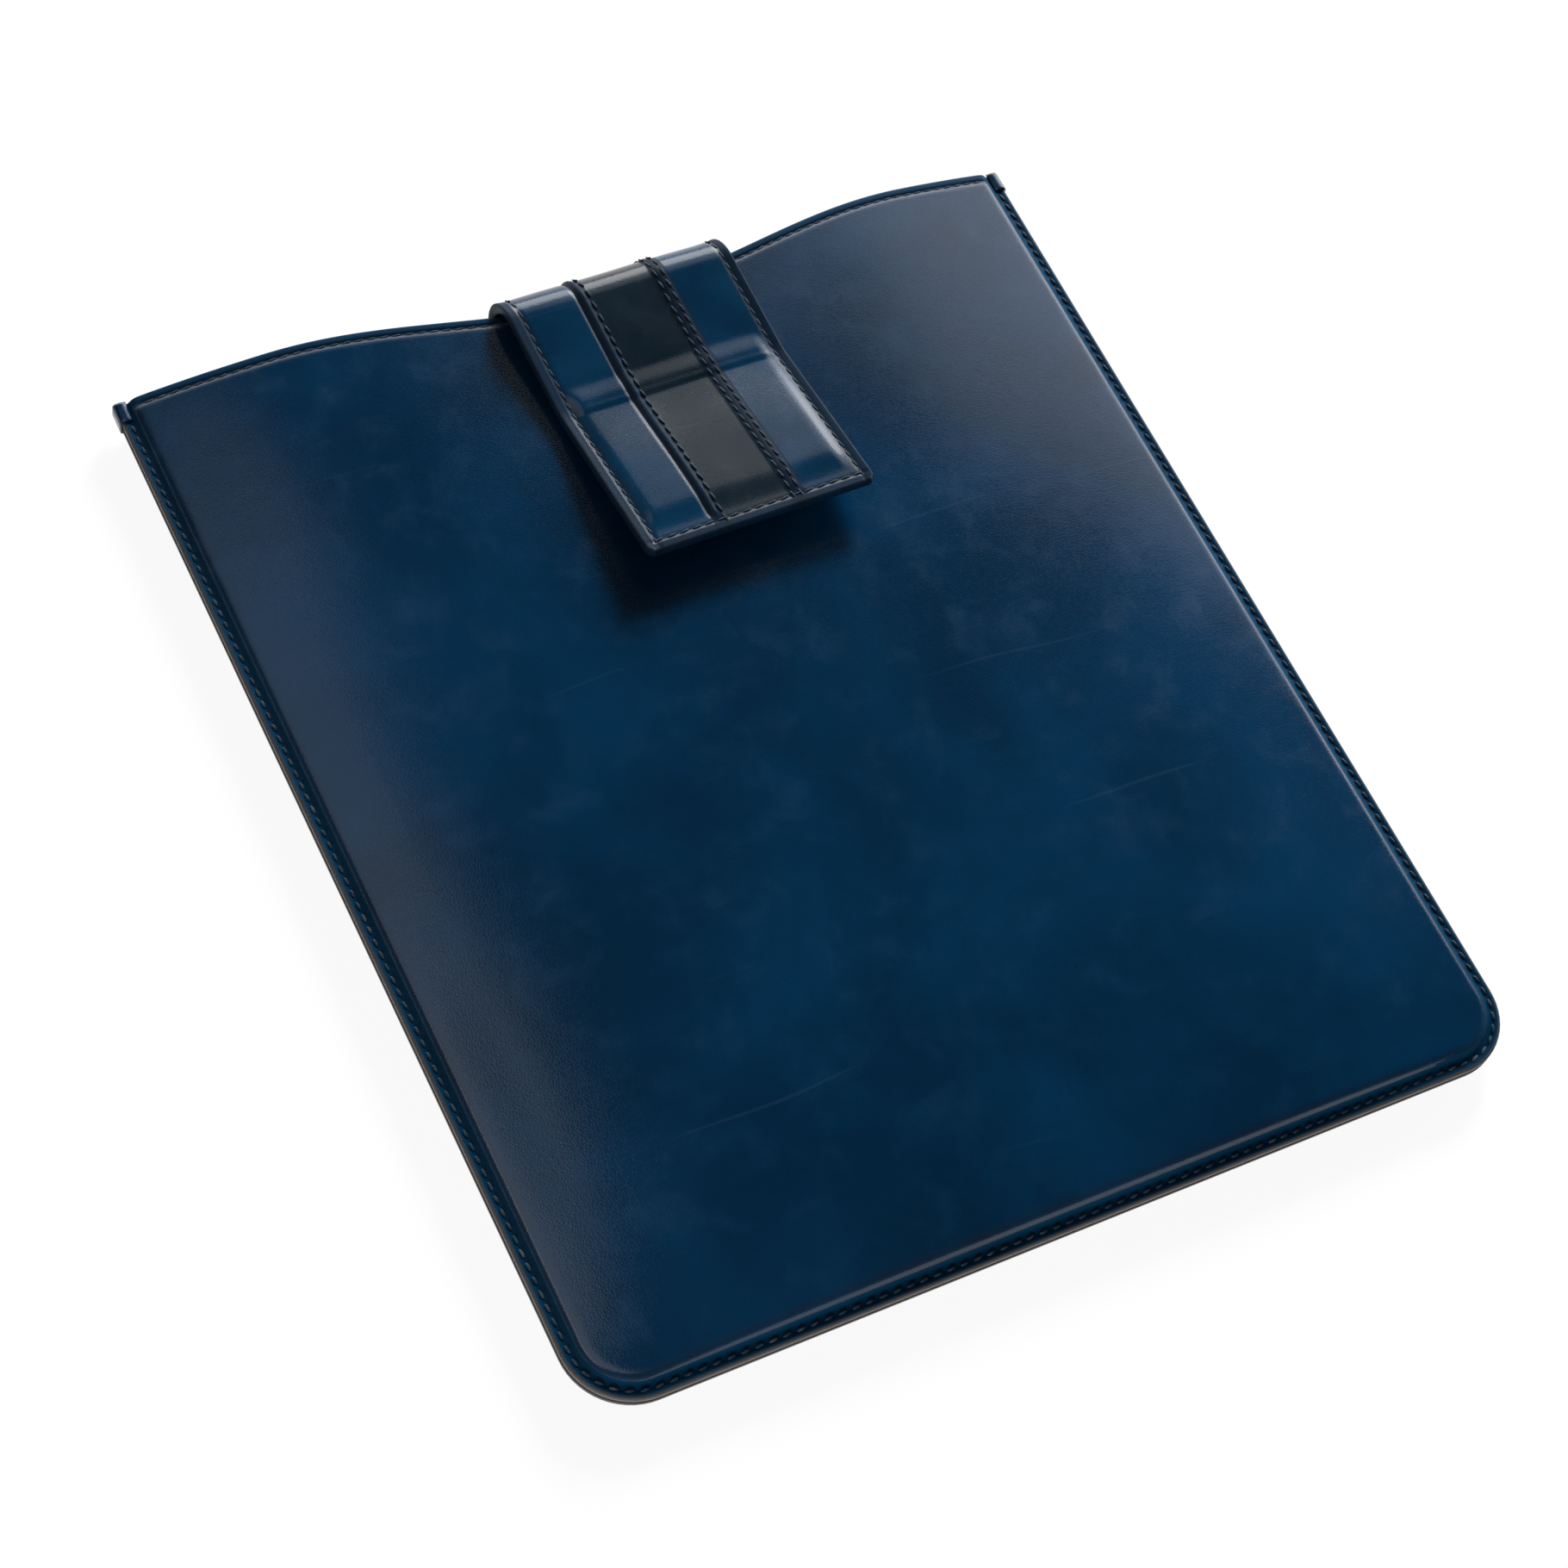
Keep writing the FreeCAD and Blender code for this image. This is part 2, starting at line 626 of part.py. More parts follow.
def strap_tip():
    tip_stripes()
    tip_ribs()
    keep("tip_lining", plate("tip_lining", tipFrame, Vector(-halfStrap, tipEnd, tipUnder), "dims.strap_width",
                             "dims.tip_length - dims.link_gap", "dims.strap_lining - dims.ply_gap"))
    tip_threads()
    magnet_board()
    magnets()


front_panel()
back_panel()
seam_welt()
front_layers()
back_layers()
seam_threads()
mouth_tack("left_mouth_tack", -1)
mouth_tack("right_mouth_tack", 1)
strap_root()
for bend in range(1, turnSteps):
    strap_bend(bend)
strap_run()
strap_tip()

# Checks and files

doc.recompute()
for obj in doc.Objects:
    if "Invalid" in obj.State or "Error" in obj.State:
        raise RuntimeError(f"{obj.Name} failed: {obj.State}")
for name, obj in pieces.items():
    if obj.Shape.isNull() or not obj.Shape.isValid() or not obj.Shape.Solids:
        raise RuntimeError(f"{name} has no valid solid")

os.makedirs("parts", exist_ok=True)
for name, obj in pieces.items():
    obj.Shape.exportStep(f"parts/{name}.step")
    print(name, len(obj.Shape.Solids), "solid", round(obj.Shape.Volume / 1000, 3), "cm3")

for step in range(turnSteps):
    axis_angle = math.radians(turnAngle * (step + 0.5))
    point = loopFrame.multVec(Vector(0, math.sin(axis_angle), -math.cos(axis_angle)) * creaseHeight)
    print("turn hinge", step + 1, [round(value, 4) for value in point])
print("crease hinge", [round(value, 4) for value in creasePoint])
print("hinge axis", [round(value, 6) for value in loopFrame.Rotation.multVec(Vector(-1, 0, 0))])
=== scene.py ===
import math
import bpy
import numpy as np
from mathutils import Matrix, Vector


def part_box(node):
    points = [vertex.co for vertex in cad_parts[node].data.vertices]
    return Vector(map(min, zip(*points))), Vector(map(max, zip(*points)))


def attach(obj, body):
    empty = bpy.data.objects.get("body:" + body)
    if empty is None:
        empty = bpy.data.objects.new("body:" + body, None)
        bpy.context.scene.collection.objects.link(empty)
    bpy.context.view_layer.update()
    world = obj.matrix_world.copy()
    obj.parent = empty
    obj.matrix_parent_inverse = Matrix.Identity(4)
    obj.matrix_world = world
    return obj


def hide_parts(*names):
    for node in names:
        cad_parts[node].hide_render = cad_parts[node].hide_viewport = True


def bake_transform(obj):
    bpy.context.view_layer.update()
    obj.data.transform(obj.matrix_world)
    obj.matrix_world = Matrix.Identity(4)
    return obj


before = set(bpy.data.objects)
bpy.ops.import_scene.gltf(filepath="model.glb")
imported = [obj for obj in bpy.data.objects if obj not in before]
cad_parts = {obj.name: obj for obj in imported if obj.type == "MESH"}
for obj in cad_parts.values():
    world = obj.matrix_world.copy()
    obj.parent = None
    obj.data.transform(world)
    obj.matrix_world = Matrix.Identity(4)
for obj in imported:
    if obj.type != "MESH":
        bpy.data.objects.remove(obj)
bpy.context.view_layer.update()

# Leather tablet sleeve with a three-striped strap. Sizes below are millimetres, written to meshes in metres.
mm = 0.001
scene = bpy.context.scene
scene.view_settings.view_transform = "Standard"


def ease(value):
    t = np.clip(value, 0.0, 1.0)
    return t * t * (3 - 2 * t)


def ramp(distance, span):
    # soft step from 0 to 1: span says where it starts and how far it runs
    start, run = span
    return ease((distance - start) / run)


def hump(distance, width):
    return np.exp(-(distance / width) ** 2)


def ridge(distance, shape):
    # smooth ridge: its height, middle and width
    height, middle, width = shape
    return height * hump(distance - middle, width)


def climb(distance, shape):
    # soft step: its height, start and run
    height, start, run = shape
    return height * ramp(distance, (start, run))


def between(outer, inner, share):
    return outer * (1 - share) + inner * share


def roundedEdge(distance, radius):
    # how far a rounded edge lies below its flat face
    reach = np.clip(distance / radius, 0.0, 1.0)
    return radius * (1 - np.sqrt(np.maximum(1 - (1 - reach) ** 2, 0.0)))


def swell(distance, wave):
    length, phase = wave
    return np.sin(distance / length + phase)


def unevenness(x, y, waves):
    # slow waves of stuffed leather: a crossed pair, and others that run aslant
    total = swell(x, waves["across"]) * swell(y, waves["along"])
    for share, run, rise, wave in waves["aslant"]:
        total = total + share * swell(run * x + rise * y, wave)
    return waves["height"] * total


def nodeBox(name):
    low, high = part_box(name)
    return np.array(low) / mm, np.array(high) / mm


def addObject(name, data):
    piece = bpy.data.objects.new(name, data)
    scene.collection.objects.link(piece)
    return piece


def addMesh(name, points, faces, materials, faceMaterial=None, marks=None):
    mesh = bpy.data.meshes.new(name)
    mesh.from_pydata((np.asarray(points, float) * mm).tolist(), [], faces)
    for material in materials:
        mesh.materials.append(material)
    if faceMaterial is not None:
        mesh.polygons.foreach_set("material_index", np.asarray(faceMaterial, np.int32))
    for label, values in (marks or {}).items():
        layer = mesh.attributes.new(label, "FLOAT", "POINT")
        layer.data.foreach_set("value", np.asarray(values, np.float32))
    mesh.polygons.foreach_set("use_smooth", np.ones(len(mesh.polygons), bool))
    mesh.update()
    return addObject(name, mesh)


def sweptFaces(sections, ring, first=0):
    # strips between neighbouring sections, and a cap at each end
    def corner(i, r):
        return first + i * ring + r % ring
    strips = [(corner(i, r), corner(i, r + 1), corner(i + 1, r + 1), corner(i + 1, r))
              for i in range(sections - 1) for r in range(ring)]
    start, end = [tuple(corner(i, r) for r in range(ring)) for i in (0, sections - 1)]
    return strips + [start[::-1], end]


def standIn(piece, node):
    # a piece of the sleeve that takes the place of one solid
    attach(piece, "sleeve")
    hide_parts(node)


# Shader nodes and the groups shared by the leathers

def feed(tree, socket, value):
    # a number or a colour is set on the socket, an output is linked to it
    if isinstance(value, (int, float)):
        socket.default_value = value
    elif isinstance(value, tuple):
        socket.default_value = (*value, 1.0)
    else:
        tree.links.new(value, socket)


def newGroup(name, inputs, outputs):
    group = bpy.data.node_groups.new(name, "ShaderNodeTree")
    for label, value in inputs.items():
        socket = group.interface.new_socket(label, in_out="INPUT", socket_type="NodeSocketFloat")
        socket.default_value = value
    for label in outputs:
        group.interface.new_socket(label, in_out="OUTPUT", socket_type="NodeSocketFloat")
    return group, group.nodes.new("NodeGroupInput").outputs, group.nodes.new("NodeGroupOutput").inputs


def addNode(tree, kind, **settings):
    node = tree.nodes.new(kind)
    for label, value in settings.items():
        setattr(node, label, value)
    return node


def objectPlace(tree):
    return addNode(tree, "ShaderNodeTexCoord").outputs["Object"]


def attributeNode(tree, name):
    return addNode(tree, "ShaderNodeAttribute", attribute_name=name).outputs["Fac"]


def noiseNode(tree, vector, scale, detail, roughness=0.5, distortion=0.0):
    node = addNode(tree, "ShaderNodeTexNoise")
    values = {"Vector": vector, "Scale": scale, "Detail": detail, "Roughness": roughness,
              "Distortion": distortion}
    for label, value in values.items():
        feed(tree, node.inputs[label], value)
    return node.outputs["Fac"]


def mapRange(tree, value, span, to=(0.0, 1.0), smooth=True):
    node = addNode(tree, "ShaderNodeMapRange", interpolation_type="SMOOTHSTEP" if smooth else "LINEAR")
    for label, number in zip(("Value", "From Min", "From Max", "To Min", "To Max"), (value, *span, *to)):
        feed(tree, node.inputs[label], number)
    return node.outputs["Result"]


def maths(tree, operation, first, second):
    node = addNode(tree, "ShaderNodeMath", operation=operation)
    for socket, value in zip(node.inputs, (first, second)):
        feed(tree, socket, value)
    return node.outputs[0]


def mixColour(tree, share, first, second):
    node = addNode(tree, "ShaderNodeMix", data_type="RGBA")
    sockets = {socket.identifier: socket for socket in node.inputs}
    for label, value in (("Factor_Float", share), ("A_Color", first), ("B_Color", second)):
        feed(tree, sockets[label], value)
    return next(socket for socket in node.outputs if socket.identifier == "Result_Color")


def stretched(tree, vector, scale, turn=0.0, shift=0.0):
    node = addNode(tree, "ShaderNodeMapping")
    node.inputs["Location"].default_value = (shift, -shift, 0.0)
    node.inputs["Rotation"].default_value = (0.0, 0.0, turn)
    node.inputs["Scale"].default_value = scale
    tree.links.new(vector, node.inputs["Vector"])
    return node.outputs["Vector"]


rubbing = {
    "cloud": {"detail": 5.0, "roughness": 0.55, "distortion": 0.6}, "cloudSpan": (0.32, 0.70),
    "rub": {"scale": 90.0, "detail": 6.0, "roughness": 0.62, "distortion": 0.3}, "rubSpan": (0.45, 0.75),
    "bend": {"scale": 14.0, "detail": 1.0}, "bendPush": (0.012, 0.012, 0.0),
    "scratch": {"scale": 1.0, "detail": 1.0}, "scratchSpan": (0.735, 0.80),
    "scratchStretch": (9.0, 420.0, 9.0), "scratchWays": ((0.5, 1.7), (2.0, 6.1)),  # turn and shift
}


def patinaGroup():
    # hand-rubbed dye: cloudy tone, a lighter rub and short fine scratches
    inputs = {"Cloud Scale": 22.0, "Scratches": 0.5}
    group, given, made = newGroup("hand_rubbed_patina", inputs, ("Cloud", "Rub", "Scratch"))
    place = objectPlace(group)
    cloud = noiseNode(group, place, given["Cloud Scale"], **rubbing["cloud"])
    feed(group, made["Cloud"], mapRange(group, cloud, rubbing["cloudSpan"]))
    rub = noiseNode(group, place, **rubbing["rub"])
    feed(group, made["Rub"], mapRange(group, rub, rubbing["rubSpan"]))
    scratches = []
    for turn, shift in rubbing["scratchWays"]:
        push = addNode(group, "ShaderNodeVectorMath", operation="MULTIPLY_ADD")
        push.inputs[1].default_value = rubbing["bendPush"]
        feed(group, push.inputs[0], noiseNode(group, place, **rubbing["bend"]))
        feed(group, push.inputs[2], place)
        lines = stretched(group, push.outputs[0], rubbing["scratchStretch"], turn, shift)
        scratch = noiseNode(group, lines, **rubbing["scratch"])
        scratches.append(mapRange(group, scratch, rubbing["scratchSpan"]))
    either = maths(group, "MAXIMUM", *scratches)
    feed(group, made["Scratch"], maths(group, "MULTIPLY", either, given["Scratches"]))
    return group


pelt = {"cellSpan": (0.0, 0.25), "cellHeight": 0.25, "pores": {"scale": 2600.0, "detail": 2.0},
        "poreSpan": (0.60, 0.72), "poreDepth": 0.3, "slowDetail": 3.0}


def grainGroup():
    # tight calf grain: small cells, hair pores and a slow unevenness of the hide
    inputs = {"Grain Scale": 1500.0, "Slow Scale": 60.0}
    group, given, made = newGroup("calf_grain", inputs, ("Height", "Pores"))
    place = objectPlace(group)
    cells = addNode(group, "ShaderNodeTexVoronoi", feature="DISTANCE_TO_EDGE")
    feed(group, cells.inputs["Vector"], place)
    feed(group, cells.inputs["Scale"], given["Grain Scale"])
    cell = mapRange(group, cells.outputs["Distance"], pelt["cellSpan"])
    pore = mapRange(group, noiseNode(group, place, **pelt["pores"]), pelt["poreSpan"])
    slow = noiseNode(group, place, given["Slow Scale"], pelt["slowDetail"])
    fine = maths(group, "SUBTRACT", maths(group, "MULTIPLY", cell, pelt["cellHeight"]),
                 maths(group, "MULTIPLY", pore, pelt["poreDepth"]))
    feed(group, made["Height"], maths(group, "ADD", fine, slow))
    feed(group, made["Pores"], pore)
    return group


patina = patinaGroup()
grain = grainGroup()


def groupNode(tree, group, values):
    node = addNode(tree, "ShaderNodeGroup", node_tree=group)
    for label, value in values.items():
        node.inputs[label].default_value = value
    return node.outputs


def principled(name):
    material = bpy.data.materials.new(name)
    material.use_nodes = True
    return material, material.node_tree, material.node_tree.nodes["Principled BSDF"]


def bumped(tree, shader, height, look):
    bump = addNode(tree, "ShaderNodeBump")
    bump.inputs["Strength"].default_value = look["bump"]
    bump.inputs["Distance"].default_value = look["bumpDepth"] * mm
    tree.links.new(height, bump.inputs["Height"])
    tree.links.new(bump.outputs["Normal"], shader.inputs["Normal"])


def leather(name, look):
    material, tree, shader = principled(name)
    dye = groupNode(tree, patina, {"Cloud Scale": look["cloudScale"], "Scratches": look["scratches"]})
    hide = groupNode(tree, grain, {"Grain Scale": look["grainScale"], "Slow Scale": look["slowScale"]})
    edge, dull = attributeNode(tree, "rawEdge"), attributeNode(tree, "dull")
    # the 'row' mark is painted shade: it darkens the colour towards the 'row' colour along stitch grooves
    # and ditches
    tones = [(maths(tree, "MULTIPLY", dye["Rub"], look["rub"]), "rubbed"),
             (maths(tree, "MULTIPLY", hide["Pores"], look["poreTone"]), "pore"),
             (dye["Scratch"], "scratch"), (attributeNode(tree, "row"), "row"), (edge, "rawEdge")]
    colour = mixColour(tree, dye["Cloud"], look["dark"], look["light"])
    for share, tone in tones:
        colour = mixColour(tree, share, colour, look[tone])
    tree.links.new(colour, shader.inputs["Base Color"])
    gloss = mapRange(tree, dye["Rub"], (0.0, 1.0), look["roughness"], smooth=False)
    worn = maths(tree, "MULTIPLY", maths(tree, "MAXIMUM", edge, dull), look["dullness"])
    tree.links.new(maths(tree, "ADD", gloss, worn), shader.inputs["Roughness"])
    shader.inputs["Specular IOR Level"].default_value = look["specular"]
    bumped(tree, shader, hide["Height"], look)
    return material


# the 'row' colour is the dark of the painted shade in the stitch grooves
sleeveLook = {
    "dark": (0.0007, 0.0215, 0.0560), "light": (0.0010, 0.0345, 0.0925), "rubbed": (0.0018, 0.0400, 0.1050),
    "pore": (0.0004, 0.0090, 0.0270), "scratch": (0.030, 0.085, 0.150), "rawEdge": (0.125, 0.118, 0.112),
    "row": (0.0002, 0.0040, 0.0120), "cloudScale": 18.0, "scratches": 0.16, "grainScale": 1500.0,
    "slowScale": 55.0, "rub": 0.35, "poreTone": 0.35, "roughness": (0.14, 0.23), "dullness": 0.36,
    "specular": 0.5, "bump": 0.13, "bumpDepth": 0.20,
}
# matte leather for the border band and the mouth hem; its blue, lighter than the body's, is painted light on
# that band
hemLook = dict(sleeveLook, dark=(0.0006, 0.0330, 0.0780), light=(0.0012, 0.0450, 0.1080),
               rubbed=(0.003, 0.055, 0.125), roughness=(0.44, 0.56), dullness=0.0, specular=0.05)
rimLook = dict(hemLook, dark=(0.0007, 0.0105, 0.0270), light=(0.0012, 0.0165, 0.0410),
               rubbed=(0.003, 0.026, 0.060), specular=0.10)
strapLook = dict(sleeveLook, dark=(0.0012, 0.0245, 0.0610), light=(0.0022, 0.0380, 0.0920), cloudScale=40.0,
                 scratches=0.15, slowScale=110.0, roughness=(0.15, 0.21), dullness=0.14)
centreLook = dict(strapLook, dark=(0.0050, 0.0135, 0.0230), light=(0.0090, 0.0210, 0.0350),
                  rubbed=(0.014, 0.027, 0.041), pore=(0.003, 0.008, 0.013), slowScale=60.0)
liningLook = dict(strapLook, dark=(0.002, 0.012, 0.030), light=(0.004, 0.020, 0.045), roughness=(0.50, 0.62),
                  specular=0.35, scratches=0.05)
coreLook = dict(sleeveLook, dark=(0.060, 0.058, 0.056), light=(0.110, 0.105, 0.100),
                rubbed=(0.14, 0.135, 0.13), pore=(0.03, 0.03, 0.03), scratch=(0.16, 0.15, 0.14),
                roughness=(0.45, 0.6), grainScale=900.0)
sleeveLeather = leather("sleeve_leather", sleeveLook)
hemLeather = leather("matte_hem_leather_painted_light", hemLook)
rimLeather = leather("strap_rim_leather", rimLook)
strapLeather = leather("strap_leather", strapLook)
centreLeather = leather("strap_centre_leather", centreLook)
liningLeather = leather("strap_lining_leather", liningLook)
seamCore = leather("seam_core", coreLook)


def finish(name, look):
    # a fine pattern gives tone, gloss and bump; suede and felt add clouds to it, thread adds wax
    material, tree, shader = principled(name)
    place = objectPlace(tree)
    if "stretch" in look:
        place = stretched(tree, place, look["stretch"])
    fine = tone = gloss = noiseNode(tree, place, **look["fine"])
    if "cloud" in look:
        cloud = noiseNode(tree, place, **look["cloud"])
        tone = maths(tree, "ADD", maths(tree, "MULTIPLY", fine, look["fineShare"]),
                     maths(tree, "MULTIPLY", cloud, look["cloudShare"]))
    colour = mixColour(tree, mapRange(tree, tone, look["toneSpan"]), look["dark"], look["light"])
    if "wax" in look:
        gloss = noiseNode(tree, place, **look["wax"])
        colour = mixColour(tree, mapRange(tree, gloss, look["waxSpan"]), colour, look["waxed"])
    tree.links.new(colour, shader.inputs["Base Color"])
    tree.links.new(mapRange(tree, gloss, look["glossSpan"], look["roughness"]), shader.inputs["Roughness"])
    for label, value in look["sockets"].items():
        shader.inputs[label].default_value = value
    bumped(tree, shader, fine, look)
    return material


suedeLook = {
    "dark": (0.004, 0.012, 0.027), "light": (0.010, 0.026, 0.052), "roughness": (0.85, 1.0),
    "fine": {"scale": 1800.0, "detail": 4.0, "roughness": 0.7}, "fineShare": 0.6,
    "cloud": {"scale": 60.0, "detail": 3.0}, "cloudShare": 0.4, "toneSpan": (0.35, 0.65),
    "glossSpan": (0.3, 0.7), "sockets": {"Sheen Weight": 0.04, "Sheen Roughness": 0.5}, "bump": 0.5,
    "bumpDepth": 0.2,
}
feltLook = dict(suedeLook, dark=(0.10, 0.10, 0.105), light=(0.20, 0.20, 0.205),
                fine={"scale": 900.0, "detail": 4.0, "roughness": 0.7},
                cloud={"scale": 120.0, "detail": 3.0},
                sockets={"Sheen Weight": 0.1, "Sheen Roughness": 0.5})
threadLook = {
    "dark": (0.0070, 0.0260, 0.0520), "light": (0.0220, 0.0580, 0.0980), "waxed": (0.070, 0.095, 0.120),
    "fine": {"scale": 2200.0, "detail": 2.0}, "wax": {"scale": 240.0, "detail": 3.0},
    "waxSpan": (0.52, 0.72), "toneSpan": (0.35, 0.65), "glossSpan": (0.3, 0.7), "roughness": (0.50, 0.70),
    "sockets": {"Specular IOR Level": 0.35}, "bump": 0.6, "bumpDepth": 0.12,
}
steelLook = {
    "dark": (0.42, 0.43, 0.44), "light": (0.58, 0.58, 0.59), "roughness": (0.28, 0.42),
    "stretch": (60.0, 2400.0, 60.0), "fine": {"scale": 1.0, "detail": 4.0}, "toneSpan": (0.3, 0.7),
    "glossSpan": (0.3, 0.7), "sockets": {"Metallic": 1.0}, "bump": 0.2, "bumpDepth": 0.05,
}
hardLooks = {
    "keeper_plate": steelLook,
    "magnets": dict(steelLook, dark=(0.62, 0.61, 0.58), light=(0.74, 0.73, 0.70), roughness=(0.14, 0.24),
                    stretch=(700.0, 700.0, 700.0)),
    "magnet_board": dict(steelLook, dark=(0.030, 0.030, 0.033), light=(0.055, 0.055, 0.060),
                         roughness=(0.5, 0.65), stretch=(1500.0, 1500.0, 1500.0), sockets={"Metallic": 0.0}),
}
pocketSuede = finish("pocket_suede", suedeLook)
paddingFelt = finish("padding_felt", feltLook)
waxedThread = finish("waxed_thread", threadLook)
for node, look in hardLooks.items():
    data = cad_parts[node].data
    data.materials.clear()
    data.materials.append(finish(node + "_finish", look))
print("materials ready")

# Shape of the sleeve, shared by every layer of it

panelLow, panelHigh = nodeBox("front_panel")
weltLow, weltHigh = nodeBox("seam_welt")
sleeve = {
    "halfLength": (panelHigh[1] - panelLow[1]) / 2, "mouthHalf": panelHigh[0], "bottomHalf": 108.0,
    "corner": 14.5, "innerCorner": 8.5, "margin": 3.4, "leather": 1.3,
    "top": panelHigh[2], "crown": 5.2, "crownPower": 3.5, "crownRun": 72.0,
    "dip": 10.4, "dipReach": 80.0, "dipX": 3.3, "dipStart": 45.0,  # wave of the mouth
    "stitchRow": 1.7, "mouthRow": 2.3, "sideSteps": 92, "arcSteps": 14, "bottomSteps": 78,
    "mouthSteps": (0.0, 0.10, 0.30, 0.60, 1.00, 1.40, 1.75, 2.00, 2.30, 2.60, 2.90, 3.40, 4.20, 5.40, 7.00,
                   9.00),
}
rimTop = sleeve["top"] - sleeve["crown"]
seamTop = weltHigh[2] + sleeve["leather"]
seamBottom = weltLow[2] - sleeve["leather"]


def alongShare(y):
    # 0 at the closed end, 1 at the mouth
    return (y + sleeve["halfLength"]) / (2 * sleeve["halfLength"])


def halfWidth(y):
    return sleeve["bottomHalf"] + alongShare(y) * (sleeve["mouthHalf"] - sleeve["bottomHalf"])


def mouthDip(x):
    reach = np.minimum(np.abs(x - sleeve["dipX"]) / sleeve["dipReach"], 1.0)
    return -sleeve["dip"] * (1 + np.cos(np.pi * reach)) / 2


def crownHeight(x, y):
    half = halfWidth(y) - sleeve["margin"]
    across = 1 - np.minimum(np.abs(x / half), 1.0) ** sleeve["crownPower"]
    short = sleeve["crownRun"] - sleeve["margin"] - (y + sleeve["halfLength"])
    short = np.minimum(np.maximum(short, 0) / sleeve["crownRun"], 1.0)
    return rimTop + sleeve["crown"] * across * (1 - short ** sleeve["crownPower"])


def warped(px, py):
    # straight-sided drawing to the real plan: sides that flare, and the wave of the mouth
    x = px * halfWidth(py) / sleeve["bottomHalf"]
    pull = ramp(py, (sleeve["dipStart"], sleeve["halfLength"] - sleeve["dipStart"]))
    return x, py + mouthDip(x) * pull


def uLine(inset):
    # line parallel to the seam, from the left mouth corner round the closed end to the right one
    half, end = sleeve["bottomHalf"] - inset, sleeve["halfLength"]
    radius = max(sleeve["corner"] - inset, sleeve["innerCorner"])
    low = -end + inset + radius
    near = np.array(sleeve["mouthSteps"])
    rest = sleeve["sideSteps"] - len(near) + 1
    sideY = np.concatenate([end - near, np.linspace(end - near[-1], low, rest + 1)[1:]])
    turn = np.linspace(0, math.pi / 2, sleeve["arcSteps"] + 1)[1:]
    arc = np.stack([-half + radius - radius * np.cos(turn), low - radius * np.sin(turn)], 1)
    acrossX = np.linspace(-half + radius, half - radius, sleeve["bottomSteps"] + 1)[1:]
    bottom = np.stack([acrossX, np.full(len(acrossX), -end + inset)], 1)
    left = np.stack([np.full(len(sideY), -half), sideY], 1)
    mirror = np.array([-1, 1])
    return np.concatenate([left, arc, bottom, arc[-2::-1] * mirror, left[::-1] * mirror])


def layerPlan(insets):
    # rows parallel to the seam, then a block of rows and columns that fills the middle
    rows = [uLine(inset) for inset in insets]
    count = len(rows[0])
    last = len(rows) - 1
    down = sleeve["sideSteps"] + sleeve["arcSteps"] // 2
    across = count - 1 - 2 * down
    points = np.concatenate(rows)
    depth = np.repeat(np.array(insets), count)
    faces = [(k * count + c, k * count + c + 1, (k + 1) * count + c + 1, (k + 1) * count + c)
             for k in range(last) for c in range(count - 1)]
    inner = rows[-1]
    leftSide, base = inner[:down + 1], inner[down:down + across + 1]
    rightSide = inner[down + across:][::-1]
    s = ((base[:, 0] - base[0, 0]) / (base[-1, 0] - base[0, 0]))[None, :, None]
    t = ((leftSide[0, 1] - leftSide[:, 1]) / (leftSide[0, 1] - leftSide[-1, 1]))[:, None, None]
    topLine = leftSide[0] * (1 - s) + rightSide[0] * s
    block = ((1 - s) * leftSide[:, None] + s * rightSide[:, None] + (1 - t) * topLine + t * base[None]
             - ((1 - s) * (1 - t) * leftSide[0] + s * (1 - t) * rightSide[0]
                + (1 - s) * t * base[0] + s * t * base[-1]))
    index = np.full((down + 1, across + 1), -1)
    index[:, 0] = last * count + np.arange(down + 1)
    index[down, :] = last * count + down + np.arange(across + 1)
    index[:, across] = last * count + (count - 1) - np.arange(down + 1)
    fresh = np.argwhere(index < 0)
    index[tuple(fresh.T)] = len(points) + np.arange(len(fresh))
    points = np.concatenate([points, block[tuple(fresh.T)]])
    depth = np.concatenate([depth, np.full(len(fresh), insets[-1])])
    faces += [(index[j, i], index[j + 1, i], index[j + 1, i + 1], index[j, i + 1])
              for j in range(down) for i in range(across)]
    mouthLoop = ([k * count for k in range(last)] + index[0].tolist()
                 + [k * count + count - 1 for k in range(last)][::-1])
    return points, depth, [tuple(int(v) for v in face) for face in faces], list(range(count)), mouthLoop


# border of the two outer leathers; a pair is the start and run of a change
border = {
    "insets": [0.0, 0.05, 0.15, 0.35, 0.8, 1.2, 1.45, 1.7, 1.95, 2.2, 2.6, 3.0, 3.25, 3.5, 3.75, 4.0, 4.3,
               4.6, 5.0, 5.5, 6.2, 7.5, 9.5, 12.5, 16.0],
    "raw": (0.15, 0.45), "rightSide": (80.0, 20.0), "worn": (3.4, 2.2), "mouthWorn": (2.6, 1.6),
    "rowWidth": 0.75, "mouthRow": (0.7, 1.9, 1.1), "mouthFrom": (4.0, 2.0), "hemMouth": 2.1,
    "leftToRight": ((0.2, 0.8), (0.18, 0.5), (3.3, 1.2)),  # wear, shade of the row, width of the hem
}


def borderMarks(x, depth, mouth):
    # dry cut edge, worn polish and painted shade along the stitch rows of the seam and the mouth, with more
    # wear and deeper painted shade on the right-hand side
    rightSide = ramp(x, border["rightSide"])
    wear, shade, hemWidth = [least + more * rightSide for least, more in border["leftToRight"]]
    worn = wear * (1 - ramp(depth, border["worn"]))
    seamRow = shade * hump(depth - sleeve["stitchRow"], border["rowWidth"])
    mouthRow = ridge(mouth, border["mouthRow"]) * ramp(depth, border["mouthFrom"])
    marks = {"rawEdge": 1 - ramp(depth, border["raw"]),
             "dull": np.maximum(worn, 1 - ramp(mouth, border["mouthWorn"])),
             "row": np.maximum(seamRow, mouthRow)}
    return marks, hemWidth


